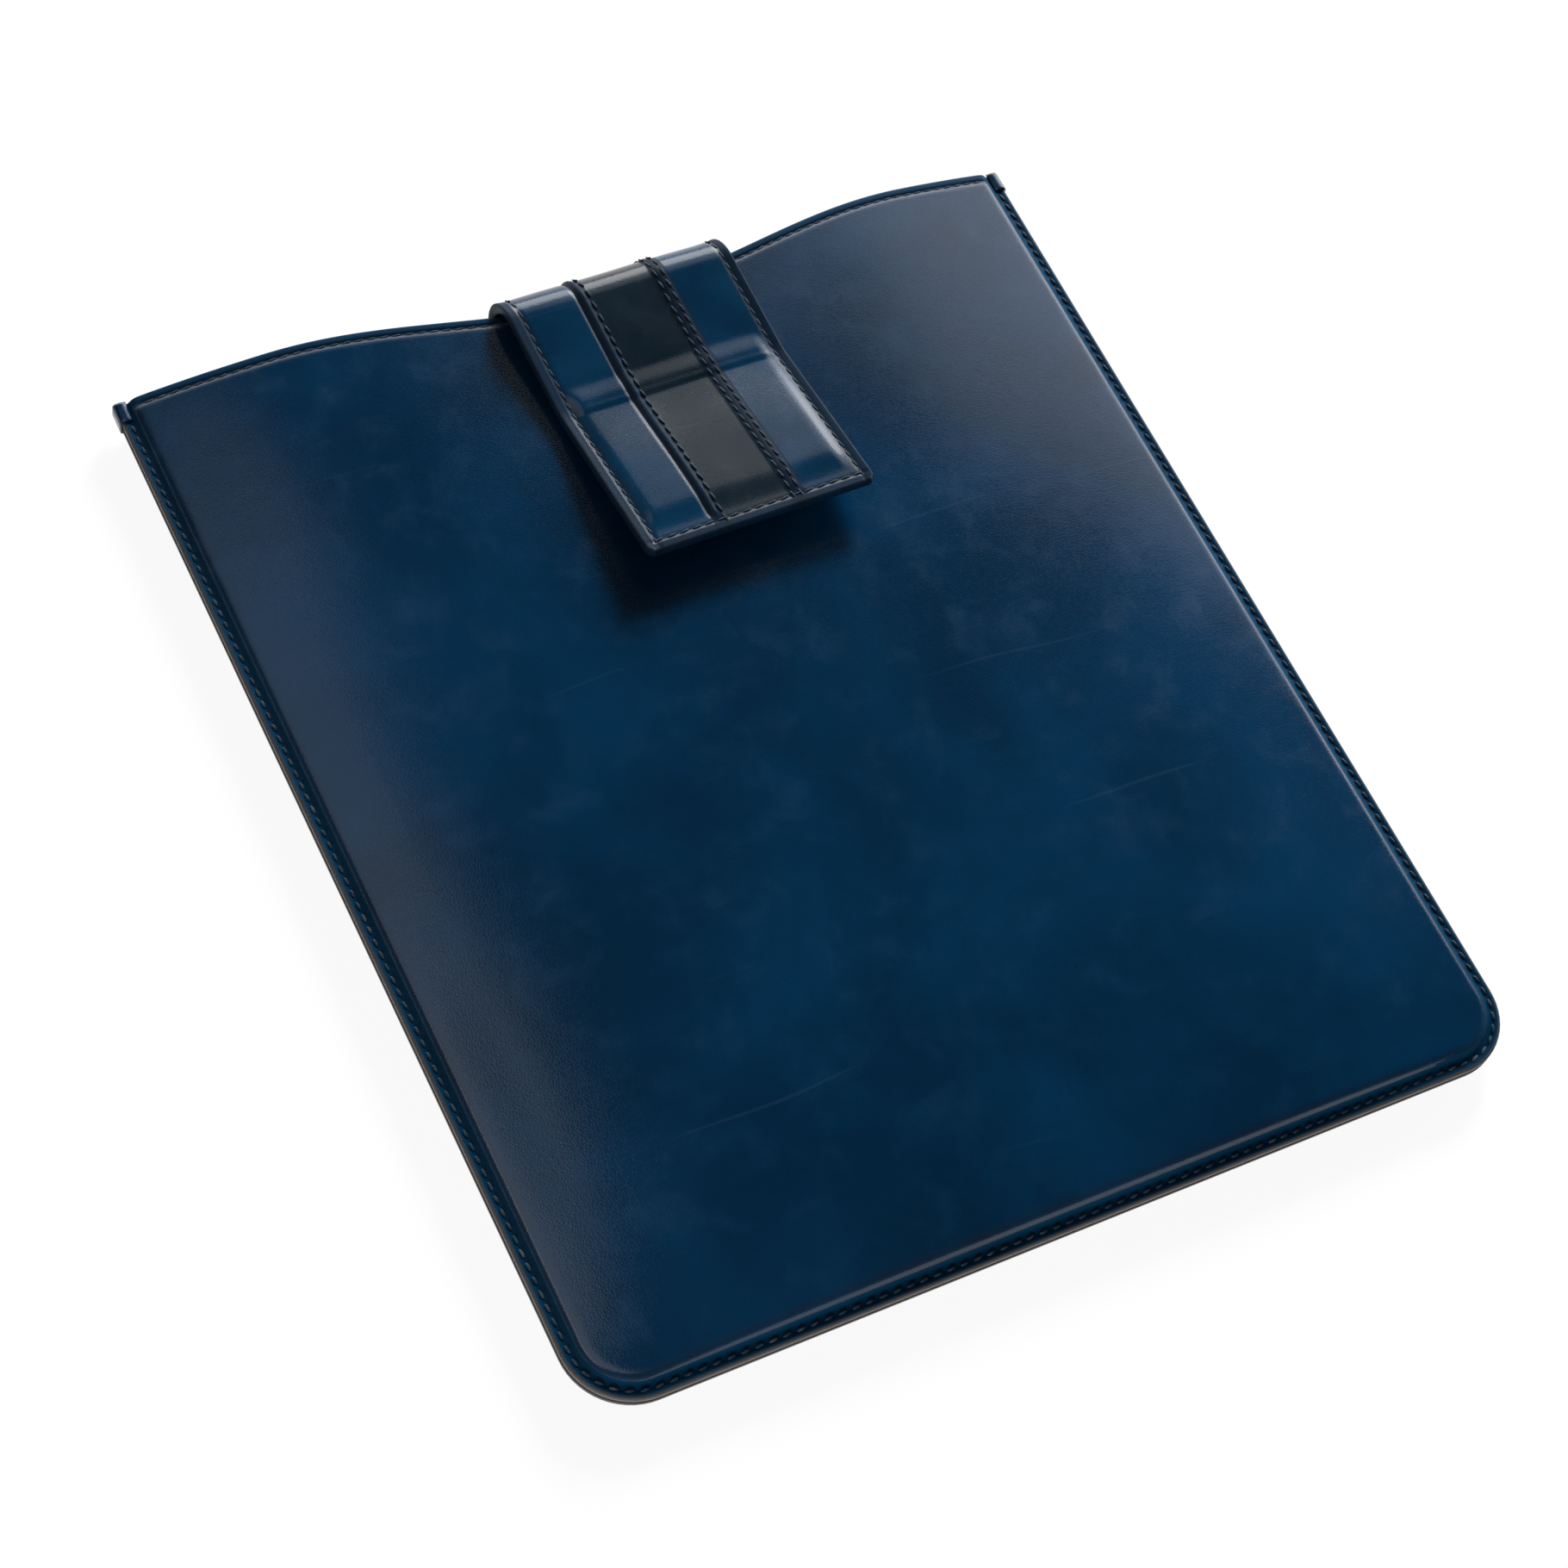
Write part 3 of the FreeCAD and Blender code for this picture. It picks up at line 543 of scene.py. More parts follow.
def layerPiece(name, insets, upper, lower, material, mouthGap=0.0, outer=False):
    # closed sheet between two heights over the same plan
    plan, depth, faces, seamLoop, mouthLoop = layerPlan(insets)
    mouth = sleeve["halfLength"] - plan[:, 1]
    x, y = warped(plan[:, 0], plan[:, 1] - mouthGap * alongShare(plan[:, 1]))
    points = np.concatenate([np.stack([x, y, side(x, y, depth, mouth)], 1) for side in (upper, lower)])
    total = len(plan)
    closed = faces + [tuple(total + v for v in face[::-1]) for face in faces]
    for loop in (seamLoop, mouthLoop[::-1]):
        closed += [(b, a, total + a, total + b) for a, b in zip(loop, loop[1:])]
    if not outer:
        return addMesh(name, points, closed, [material])
    marks, hemWidth = borderMarks(x, depth, mouth)
    marks = {label: np.tile(values, 2) for label, values in marks.items()}
    # border and mouth hem faces take the matte hem leather, whose lighter blue is painted light
    hem = [max(depth[list(face)]) < hemWidth[face[0]] or max(mouth[list(face)]) < border["hemMouth"]
           for face in faces]
    faceMaterial = np.concatenate([hem, hem, np.zeros(len(closed) - 2 * len(faces))])
    return addMesh(name, points, closed, [material, hemLeather], faceMaterial, marks)


front = {
    "edgeRound": 0.7, "groove": (0.20, sleeve["stitchRow"], 0.55), "shoulderStart": 2.7, "shoulderRun": 0.85,
    "shoulderPower": 1.4, "mouthGroove": (0.30, sleeve["mouthRow"], 0.40), "hemDrop": 0.10,
    "hemRun": (0.0, 2.4), "mouthRound": 0.4, "seamMouthRound": 0.3, "under": (4.0, 2.2), "lipShare": 0.3,
    "swells": {"height": 0.15, "across": (19.0, 1.3), "along": (27.0, 0.4),  # lengths and phases
               "aslant": ((0.6, 1.0, 0.7, (15.0, 2.1)), (0.5, 0.8, -1.0, (23.0, 0.0)))},
    "swellFrom": (5.0, 11.0), "swellMouth": (0.0, 20.0),
}
back = {
    "edgeRound": 0.35, "groove": (0.22, sleeve["stitchRow"], 0.4),
    "mouthGroove": (0.25, sleeve["mouthRow"], 0.32), "mouthRound": 0.5, "under": (3.0, 3.6),
    "top": (4.4, 3.6),
}


def frontTop(x, y, depth, mouth):
    edge = seamTop - roundedEdge(depth, front["edgeRound"]) - roundedEdge(mouth, front["seamMouthRound"])
    hem = ridge(mouth, front["mouthGroove"]) + roundedEdge(mouth, front["mouthRound"])
    hem = hem + front["hemDrop"] * (1 - ramp(mouth, front["hemRun"]))
    swells = unevenness(x, y, front["swells"]) * ramp(depth, front["swellFrom"])
    raised = crownHeight(x, y) + swells * ramp(mouth, front["swellMouth"]) - hem
    past = np.maximum(depth - front["shoulderStart"], 0) / front["shoulderRun"]
    inside = 1 - np.exp(-past ** front["shoulderPower"])
    return between(edge - ridge(depth, front["groove"]), raised, inside)


def frontUnder(x, y, depth, mouth):
    lip = front["lipShare"] * roundedEdge(mouth, front["mouthRound"])
    return between(weltHigh[2], crownHeight(x, y) - sleeve["leather"] + lip, ramp(depth, front["under"]))


def backUnder(x, y, depth, mouth):
    edge = seamBottom + roundedEdge(depth, back["edgeRound"]) + ridge(depth, back["groove"])
    hem = ridge(mouth, back["mouthGroove"]) + roundedEdge(mouth, back["mouthRound"])
    return between(edge, hem, ramp(depth, back["under"]))


def backTop(x, y, depth, mouth):
    return between(weltLow[2], sleeve["leather"], ramp(depth, back["top"]))


skins = {"front_leather": ("front_panel", frontTop, frontUnder),
         "back_leather": ("back_panel", backTop, backUnder)}
for name, (node, upper, lower) in skins.items():
    piece = layerPiece(name, border["insets"], upper, lower, sleeveLeather, outer=True)
    standIn(piece, node)

# felt and suede: upper and lower face from the outer face of the leather, and gap at the mouth
innerLayers = {
    "front_felt": {"node": "front_padding", "slot": "padding_felt", "faces": (1.32, 2.08), "gap": 12.1},
    "front_suede": {"node": "front_lining", "slot": "pocket_suede", "faces": (2.12, 2.55), "gap": 0.15},
    "back_felt": {"node": "back_padding", "slot": "padding_felt", "faces": (2.08, 1.34), "gap": 12.1},
    "back_suede": {"node": "back_lining", "slot": "pocket_suede", "faces": (2.55, 2.12), "gap": 0.15},
}
innerInsets = {"front": [5.5, 5.8, 6.5, 8.0, 10.0, 12.5, 16.0], "back": [7.4, 7.7, 8.5, 10.0, 12.5, 16.0]}


def innerFace(side, distance):
    # under the crowned front, or over the flat back
    if side == "front":
        return lambda x, y, depth, mouth: crownHeight(x, y) - distance
    return lambda x, y, depth, mouth: np.full(len(x), distance)


for name, layer in innerLayers.items():
    side = name.split("_")[0]
    upper, lower = [innerFace(side, distance) for distance in layer["faces"]]
    isFelt = layer["slot"] == "padding_felt"
    material = paddingFelt if isFelt else pocketSuede
    piece = layerPiece(name, innerInsets[side], upper, lower, material, layer["gap"])
    standIn(piece, layer["node"])
print("sleeve layers ready")

welt = {"depth": 3.4, "clear": 0.02, "edge": 0.28, "bevel": 0.16, "bevelDrop": 0.12, "nose": 0.12}


def seamStrip(name, material):
    # closed strip swept round the seam, from one mouth corner to the other
    top, under = weltHigh[2], weltLow[2]
    profile = [(welt["depth"], under + welt["clear"]), (welt["depth"], top - welt["clear"]),
               (welt["edge"], top - welt["clear"]), (welt["bevel"], top - welt["bevelDrop"]),
               (welt["nose"], (under + top) / 2), (welt["bevel"], under + welt["bevelDrop"]),
               (welt["edge"], under + welt["clear"])]
    lines = []
    for inset, height in profile:
        x, y = warped(*uLine(inset).T)
        lines.append(np.stack([x, y, np.full(len(x), height)], 1))
    points = np.stack(lines, 1)
    return addMesh(name, points.reshape(-1, 3), sweptFaces(len(points), len(profile)), [material])


standIn(seamStrip("seam_core_strip", seamCore), "seam_welt")

strap = {
    "x": 3.8, "loopY": 112.9, "skew": math.radians(2.0), "width": 56.0, "outer": 1.2, "lining": 1.0,
    "radius": 9.05, "rest": 1.3, "runPitch": math.radians(5.8), "runLength": 26.1, "creaseRun": 5.0,
    "tipPitch": math.radians(7.0), "tipLength": 43.0, "tail": 38.0, "tailThick": 0.75, "rib": 9.5,
}
halfStrap = strap["width"] / 2
facing = {"thick": 0.74, "bevel": 0.12, "steps": 121, "rows": (0.05, 0.2, 0.6, 2.0, 5.0, 11.6, 11.9),
          "frontDrop": 1.33, "frontInset": 5.6, "backHeight": 2.09, "backInset": 7.5, "besideStrap": 1.6}


def mouthFacing(name, heightAt, inset, gap=None):
    # leather strip behind one edge of the mouth, open where the strap's tail passes
    half = sleeve["mouthHalf"] - inset
    xs = np.linspace(-half, half, facing["steps"])
    runs = [xs] if gap is None else [xs[xs <= gap[0]], xs[xs >= gap[1]]]
    rows = facing["rows"]
    bevels = [facing["bevel"] if row in (rows[0], rows[-1]) else 0.0 for row in rows]
    ring = [(row, -bevel) for row, bevel in zip(rows, bevels)]
    ring += [(row, bevel - facing["thick"]) for row, bevel in zip(rows, bevels)][::-1]
    points, faces = [], []
    for run in runs:
        faces += sweptFaces(len(run), len(ring), len(points))
        for x in run:
            for row, rise in ring:
                y = sleeve["halfLength"] + mouthDip(x) - row
                points.append((x, y, heightAt(x, y) + rise))
    return addMesh(name, points, faces, [sleeveLeather])


beside = halfStrap + facing["besideStrap"]
frontFacing = mouthFacing("front_facing", lambda x, y: crownHeight(x, y) - facing["frontDrop"],
                          facing["frontInset"])
backFacing = mouthFacing("back_facing", lambda x, y: facing["backHeight"], facing["backInset"],
                         (strap["x"] - beside, strap["x"] + beside))
standIn(frontFacing, "front_mouth_facing")
standIn(backFacing, "back_mouth_facing")

tack = {
    "round": 0.5, "reach": 3.0, "clear": 0.05, "throat": 0.42, "steps": 12, "past": 0.2,
    "crest": ((-0.1, 2.9), (0.1, 1.6), (0.0, 0.6), (-0.6, 0.0)),  # rise over the solid's top, reach inward
    "rib": 0.012, "pinch": 0.03,
}


def mouthTack(node, side):
    # cap over the end of a side seam: a rounded saddle of turned leather, faintly ribbed
    low, high = nodeBox(node)
    under, over = seamBottom - tack["clear"], seamTop + tack["clear"]
    profile = [(low[2] + tack["round"], 0.0), (low[2], tack["round"]), (low[2], tack["reach"]),
               (under, tack["reach"]), (under, tack["throat"]), (over, tack["throat"]),
               (over, tack["reach"])]
    profile += [(high[2] + rise, reach) for rise, reach in tack["crest"]]
    lengths = np.linspace(low[1] - tack["past"], high[1], tack["steps"])
    outerX = high[0] if side > 0 else low[0]
    middle = (seamTop + seamBottom) / 2
    points = []
    for k, y in enumerate(lengths):
        size = 1 + tack["rib"] * (-1) ** k - tack["pinch"] * (k in (0, len(lengths) - 1))
        points += [(outerX - side * reach, y, middle + (z - middle) * size) for z, reach in profile]
    faces = sweptFaces(len(lengths), len(profile))
    if side < 0:
        faces = [face[::-1] for face in faces]
    return addMesh(node + "_cap", points, faces, [sleeveLeather])


for node, side in (("left_mouth_tack", -1), ("right_mouth_tack", 1)):
    standIn(mouthTack(node, side), node)
print("mouth pieces ready")

# Strap: one skin swept along its path, cut into lengths that lie between neighbouring bodies

loopZ = strap["rest"] + strap["radius"]
lastTurn = math.pi + strap["runPitch"]
pathSteps = {"tail": 20, "tailEnd": -0.8, "turn": 66, "coarse": 1.0, "fine": 0.4, "aroundCrease": (8, 6),
             "beforeEnd": 9, "endRows": (0.5, 0.3, 0.15, 0.05, 0.0)}


def pathDistances():
    # distances past the turn, closer together at the crease and at the free end
    run, total = strap["runLength"], strap["runLength"] + strap["tipLength"]
    before, after = pathSteps["aroundCrease"]
    coarse, fine = pathSteps["coarse"], pathSteps["fine"]
    endRows = total - np.array(pathSteps["endRows"])
    stops = (coarse, run - before, run + after, total - pathSteps["beforeEnd"], endRows[0])
    spans = zip(stops, stops[1:], (coarse, fine, coarse, fine))
    return np.concatenate([np.arange(*span) for span in spans] + [endRows])


def strapPath():
    # stations: distance, place (y, z) of the outer face, and its outward direction (y, z)
    radius, runPitch = strap["radius"], strap["runPitch"]
    stations = [(y, (y, strap["rest"]), (0.0, -1.0))
                for y in np.linspace(-strap["tail"], pathSteps["tailEnd"], pathSteps["tail"])]
    for turn in np.linspace(0, lastTurn, pathSteps["turn"]):
        out = (math.sin(turn), -math.cos(turn))
        stations.append((radius * turn, (radius * out[0], loopZ + radius * out[1]), out))
    place = np.array(stations[-1][1])
    crease = (strap["runLength"] - strap["creaseRun"] / 2, strap["creaseRun"])
    far, previous = 0.0, -runPitch
    for distance in pathDistances():
        pitch = -runPitch + (runPitch + strap["tipPitch"]) * float(ramp(distance, crease))
        middle = (pitch + previous) / 2
        place = place + (distance - far) * np.array([-math.cos(middle), math.sin(middle)])
        stations.append((radius * lastTurn + distance, tuple(place), (math.sin(pitch), math.cos(pitch))))
        far, previous = distance, pitch
    return stations


stations = strapPath()
stationAt = np.array([station[0] for station in stations])
creaseAt = strap["radius"] * lastTurn + strap["runLength"]
endAt = stationAt[-1]

rim = {
    "bead": 0.24, "beadRun": (0.0, 2.2), "edge": 0.45, "leftRow": 2.9, "rightRow": 2.3, "groove": 0.14,
    "grooveWidth": 0.5, "endRow": 2.5, "endGroove": (0.12, 2.5, 0.45), "endSide": (0.2, 1.5),
}
ribs = {
    "raise": (0.495, -0.3, 0.75), "ditch": (0.30, -1.6, 0.5), "band": 0.26, "bandHalf": 1.9, "bandEdge": 0.9,
    "seam": 0.14, "seamAt": 0.95, "seamWidth": 0.35, "leftRow": 1.25, "end": (3.2, 2.0),
}
pad = {
    "rise": (0.75, -6.5, 5.5), "fall": (0.30, 0.4, 1.8), "swell": (0.30, 1.8, 20.0),
    "crown": (0.10, 2.0, 16.0), "crownEnd": (6.0, 10.0), "side": (2.8, 3.0), "end": (3.6, 7.5), "fill": 0.8,
}
strapSwells = {
    "height": 0.08, "across": (6.1, 0.7), "along": (7.3, 0.2), "aslant": ((0.6, 1.0, 0.8, (4.7, 1.9)),),
    "side": (3.0, 4.0), "end": (4.0, 6.0),
}
reliefStart = (-1.0, 4.0)


def sideRow(x):
    return np.where(x < 0, rim["leftRow"], rim["rightRow"])


def strapRim(x, side, fromEnd):
    # beaded edge with a stitch groove, along both sides and across the free end
    bead = rim["bead"] * (1 - ramp(side, rim["beadRun"])) - roundedEdge(side, rim["edge"])
    bead = bead - rim["groove"] * hump(side - sideRow(x), rim["grooveWidth"])
    end = -roundedEdge(fromEnd, rim["edge"]) - ridge(fromEnd, rim["endGroove"])
    return bead + end * ramp(side, rim["endSide"])


def strapRibs(x, fromEnd):
    # raised welt with a ditch beside it on the left, flat sewn band on the right
    left, right = x + strap["rib"], x - strap["rib"]
    raised = ridge(left, ribs["raise"]) - ridge(left, ribs["ditch"])
    band = ribs["band"] * ease((ribs["bandHalf"] - np.abs(right)) / ribs["bandEdge"])
    for at in (ribs["seamAt"], -ribs["seamAt"]):
        band = band - ribs["seam"] * hump(right - at, ribs["seamWidth"])
    return (raised + band) * ramp(fromEnd, ribs["end"])


def paddedEnd(x, side, past, fromEnd):
    # stiff panel past the crease: a soft step, a shallow fall behind it and a slight crown
    lift = climb(past, pad["rise"]) - climb(past, pad["fall"]) + climb(past, pad["swell"])
    crown = climb(past, pad["crown"]) * (1 - (x / halfStrap) ** 2)
    lift = lift + crown * ramp(fromEnd, pad["crownEnd"])
    return lift * ramp(side, pad["side"]) * ramp(fromEnd, pad["end"])


def strapRelief(x, s):
    # height of the outer face above the plain strap
    side, fromEnd = halfStrap - np.abs(x), endAt - s
    shown = ramp(s, reliefStart)
    swells = unevenness(x, s, strapSwells) * ramp(side, strapSwells["side"])
    swells = swells * ramp(fromEnd, strapSwells["end"])
    height = strapRim(x, side, fromEnd) + strapRibs(x, fromEnd) * shown
    return (height + paddedEnd(x, side, s - creaseAt, fromEnd) + swells) * shown


section = {
    "edgeRows": (0.0, 0.06, 0.16, 0.3, 0.5, 0.75, 1.0, 1.3, 1.6, 1.95, 2.3, 2.6, 2.9, 3.2, 3.7, 4.2, 4.7,
                 5.3, 6.2, 7.5),
    "runs": ((-18.5, -12.9, 1.4), (-12.7, -6.9, 0.3), (-6.4, 6.6, 1.0), (6.9, 12.2, 0.3), (13.0, 20.0, 1.4)),
    "cornerPull": (0.96, 0.0, 0.9), "cornerWidth": 1.6, "full": (-2.2, 2.2), "underEdge": (0.35, 0.0, 0.3),
    "underRound": 0.5,
}


def sectionSteps():
    # places across the strap, closest at its edges and ribs
    edge = np.array(section["edgeRows"]) - halfStrap
    return np.sort(np.concatenate([edge, -edge] + [np.arange(*run) for run in section["runs"]]))


acrossStrap = sectionSteps()
fromSide = halfStrap - np.abs(acrossStrap)


def strapPlace(x, y, z):
    # from the strap's own axes to the sleeve's
    c, s = math.cos(strap["skew"]), math.sin(strap["skew"])
    return np.stack([strap["x"] + c * x - s * y, strap["loopY"] + s * x + c * y, z], -1)


def offPath(station, x, height):
    place, out = station[1:]
    return strapPlace(x, place[0] + out[0] * height, place[1] + out[1] * height)


def strapRing(station):
    # closed section: outer face from left to right, then the lining back
    s = station[0]
    pull = ridge(endAt - s, section["cornerPull"]) * hump(fromSide, section["cornerWidth"])
    x = np.sign(acrossStrap) * (np.abs(acrossStrap) - pull)
    full = float(ramp(s, section["full"]))
    thick = between(strap["tailThick"], strap["outer"] + strap["lining"], full)
    under = -thick + ridge(fromSide, section["underEdge"]) * full
    under = under + roundedEdge(endAt - s, section["underRound"])
    outer = offPath(station, x, strapRelief(acrossStrap, s))
    return np.concatenate([outer, offPath(station, x, under)[::-1]])


strapRings = np.array([strapRing(station) for station in stations])
ringSize = strapRings.shape[1]
# 'row' is the strength of the painted shade in the strap's stitch grooves and ditch
strapTone = {
    "dullSide": (2.5, 1.2), "dullEnd": (2.8, 1.2), "leftRib": 1.6, "rightRib": 1.8, "raw": (0.12, 0.25, 0.2),
    "row": 0.8, "rowWidth": 0.6, "ditch": (1.0, -1.6, 0.45), "band": (0.9, 0.0, 1.7),
    "seam": (0.7, 0.8, 0.5),
}


def strapMarks():
    # duller along edges, ribs and rows of thread; dry cut edge on the rim; painted shade in the stitch
    # grooves and in the ditch by the left rib, and darker along the sewn band on the right; the lining has
    # none of it
    left, right = acrossStrap + strap["rib"], acrossStrap - strap["rib"]
    fromEnd = endAt - stationAt
    dull = 1 - ramp(fromSide, strapTone["dullSide"])
    dull = dull + hump(left, strapTone["leftRib"]) + hump(right, strapTone["rightRib"])
    rows = np.max([hump(fromSide - sideRow(acrossStrap), strapTone["rowWidth"]),
                   ridge(left, strapTone["ditch"]), ridge(right, strapTone["band"]),
                   ridge(left, strapTone["seam"])], 0)
    endRows = hump(fromEnd - rim["endRow"], strapTone["rowWidth"])
    marks = {"dull": (np.clip(dull, 0, 1), 1 - ramp(fromEnd, strapTone["dullEnd"])),
             "rawEdge": (ridge(fromSide, strapTone["raw"]), ridge(fromEnd, strapTone["raw"])),
             "row": (strapTone["row"] * rows, strapTone["row"] * endRows)}
    blank = np.zeros((len(stations), len(acrossStrap)))
    return {label: np.concatenate([np.maximum(across[None, :], along[:, None]), blank], 1)
            for label, (across, along) in marks.items()}


strapShades = strapMarks()
stripe, centre, lining, burnished = range(4)
strapMaterials = [strapLeather, centreLeather, liningLeather, rimLeather]
stripeEdges = {"centre": (0.9, -1.6), "leftRibAt": -0.4, "leftRib": 1.5, "rightRib": 1.9, "rim": 2.0,
               "rimShift": 0.1, "end": 1.8}


def ringMaterials():
    # outer face by stripe, with burnished rims and ribs, then the two cut edges and the lining
    low, high = stripeEdges["centre"][0] - strap["rib"], stripeEdges["centre"][1] + strap["rib"]
    outerFaces = []
    for x in acrossStrap[:-1]:
        onRib = (abs(x + strap["rib"] - stripeEdges["leftRibAt"]) < stripeEdges["leftRib"]
                 or abs(x - strap["rib"]) < stripeEdges["rightRib"])
        onRim = halfStrap - abs(x + stripeEdges["rimShift"]) < stripeEdges["rim"]
        outerFaces.append(burnished if onRib or onRim else centre if low < x < high else stripe)
    return outerFaces + [burnished] + [lining] * len(outerFaces) + [burnished]


def ringFaces(rings):
    return [(i * ringSize + r, (i + 1) * ringSize + r,
             (i + 1) * ringSize + (r + 1) % ringSize, i * ringSize + (r + 1) % ringSize)
            for i in range(rings - 1) for r in range(ringSize)]


def capFaces(rings):
    first = [(r, r + 1, ringSize - 2 - r, ringSize - 1 - r) for r in range(ringSize // 2 - 1)]
    offset = (rings - 1) * ringSize
    return first + [tuple(offset + v for v in face[::-1]) for face in first]


# normals of the uncut strap, so that no seam shows where two lengths meet
whole = addMesh("strap_whole", strapRings.reshape(-1, 3), ringFaces(len(stations)), [])
wholeNormals = np.array([v.normal for v in whole.data.vertices]).reshape(len(stations), ringSize, 3)
bpy.data.objects.remove(whole)


def nearestStation(distance):
    return int(np.argmin(np.abs(stationAt - distance)))


bend = {"turns": 4, "quarter": math.pi / 4, "inside": 0.1, "middleRun": 9.0, "creaseReach": 5.0}
turnAt = [strap["radius"] * k * bend["quarter"] for k in range(bend["turns"])]
middleRun = strap["radius"] * lastTurn + bend["middleRun"]
strapLengths = [
    ("strap_root", "sleeve", "bend_1", -strap["tail"], turnAt[1], ["strap_tail", "strap_root_lining"]),
    ("strap_turn_low", "bend_1", "bend_2", turnAt[1], turnAt[2], ["strap_bend_1", "strap_bend_1_lining"]),
    ("strap_turn_high", "bend_2", "bend_3", turnAt[2], turnAt[3], ["strap_bend_2", "strap_bend_2_lining"]),
    ("strap_run", "bend_3", "strap_run", turnAt[3], middleRun,
     ["strap_bend_3", "strap_bend_3_lining", "run_left_stripe", "run_centre_stripe", "run_right_stripe",
      "run_left_rib", "run_right_rib", "run_lining"]),
    ("strap_tip", "strap_run", "strap_tip", middleRun, endAt,
     ["tip_left_stripe", "tip_centre_stripe", "tip_right_stripe", "tip_left_rib", "tip_right_rib",
      "tip_lining"]),
]


perRing = ringMaterials()
endRing = [burnished if index in (stripe, centre) else index for index in perRing]
for number, (name, bodyA, bodyB, start, end, nodes) in enumerate(strapLengths):
    first, last = nearestStation(start), nearestStation(end)
    kept = slice(first, last + 1)
    rings = strapRings[kept]
    caps = capFaces(len(rings))
    faceMaterial = []
    for i in range(first, last):
        faceMaterial += endRing if endAt - stationAt[i + 1] < stripeEdges["end"] else perRing
    faceMaterial += [burnished] * len(caps)
    marks = {label: values[kept].ravel() for label, values in strapShades.items()}
    piece = addMesh(name + "_leather", rings.reshape(-1, 3), ringFaces(len(rings)) + caps, strapMaterials,
                    faceMaterial, marks)
    piece.data.normals_split_custom_set_from_vertices(wholeNormals[kept].reshape(-1, 3).tolist())
    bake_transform(piece)
    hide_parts(*nodes)
print("strap ready")

# Stitches: one tree that sets thread along a path whose points carry the way they face

stitch = {"Pitch": 3.0, "Length": 2.1, "Width": 0.72, "Slant": 0.16}
mouthStitch = {"Pitch": 2.8, "Length": 2.3, "Width": 0.5}
strapStitch = {"Pitch": 2.9, "Length": 2.45, "Width": 0.55}
threadBead = {"Segments": 8, "Rings": 6, "Radius": 0.5}
leanRange = (-0.06, 0.06)


def stitchTree():
    tree = bpy.data.node_groups.new("stitch_row", "GeometryNodeTree")
    tree.interface.new_socket("Geometry", in_out="INPUT", socket_type="NodeSocketGeometry")
    for label in stitch:
        tree.interface.new_socket(label, in_out="INPUT", socket_type="NodeSocketFloat")
    tree.interface.new_socket("Seed", in_out="INPUT", socket_type="NodeSocketInt")
    tree.interface.new_socket("Material", in_out="INPUT", socket_type="NodeSocketMaterial")
    tree.interface.new_socket("Geometry", in_out="OUTPUT", socket_type="NodeSocketGeometry")
    given = tree.nodes.new("NodeGroupInput").outputs
    link = tree.links.new
    path = addNode(tree, "GeometryNodeMeshToCurve")
    spread = addNode(tree, "GeometryNodeResampleCurve", mode="LENGTH")
    link(given["Geometry"], path.inputs["Mesh"])
    link(path.outputs["Curve"], spread.inputs["Curve"])
    link(given["Pitch"], spread.inputs["Length"])
    thread = addNode(tree, "GeometryNodeMeshUVSphere")
    for label, value in threadBead.items():
        thread.inputs[label].default_value = value
    size = addNode(tree, "ShaderNodeCombineXYZ")
    for label, source in (("X", "Length"), ("Y", "Width"), ("Z", "Width")):
        link(given[source], size.inputs[label])
    tangent = addNode(tree, "GeometryNodeInputTangent")
    way = addNode(tree, "GeometryNodeInputNamedAttribute", data_type="FLOAT_VECTOR")
    way.inputs["Name"].default_value = "facing"
    axes = addNode(tree, "FunctionNodeAxesToRotation", primary_axis="X", secondary_axis="Z")
    link(tangent.outputs[0], axes.inputs[0])
    link(way.outputs["Attribute"], axes.inputs[1])
    lean = addNode(tree, "FunctionNodeRandomValue", data_type="FLOAT")
    lean.inputs[2].default_value, lean.inputs[3].default_value = leanRange
    link(given["Seed"], lean.inputs["Seed"])
    spin = addNode(tree, "FunctionNodeAxisAngleToRotation")
    spin.inputs["Axis"].default_value = (0.0, 0.0, 1.0)
    link(maths(tree, "ADD", given["Slant"], lean.outputs[1]), spin.inputs["Angle"])
    turned = addNode(tree, "FunctionNodeRotateRotation", rotation_space="LOCAL")
    link(axes.outputs[0], turned.inputs[0])
    link(spin.outputs[0], turned.inputs[1])
    place = addNode(tree, "GeometryNodeInstanceOnPoints")
    link(spread.outputs["Curve"], place.inputs["Points"])
    link(thread.outputs["Mesh"], place.inputs["Instance"])
    link(turned.outputs[0], place.inputs["Rotation"])
    link(size.outputs[0], place.inputs["Scale"])
    real = addNode(tree, "GeometryNodeRealizeInstances")
    smooth = addNode(tree, "GeometryNodeSetShadeSmooth")
    paint = addNode(tree, "GeometryNodeSetMaterial")
    link(place.outputs["Instances"], real.inputs[0])
    link(real.outputs[0], smooth.inputs[0])
    link(smooth.outputs[0], paint.inputs["Geometry"])
    link(given["Material"], paint.inputs["Material"])
    link(paint.outputs[0], tree.nodes.new("NodeGroupOutput").inputs[0])
    return tree


stitchRow = stitchTree()


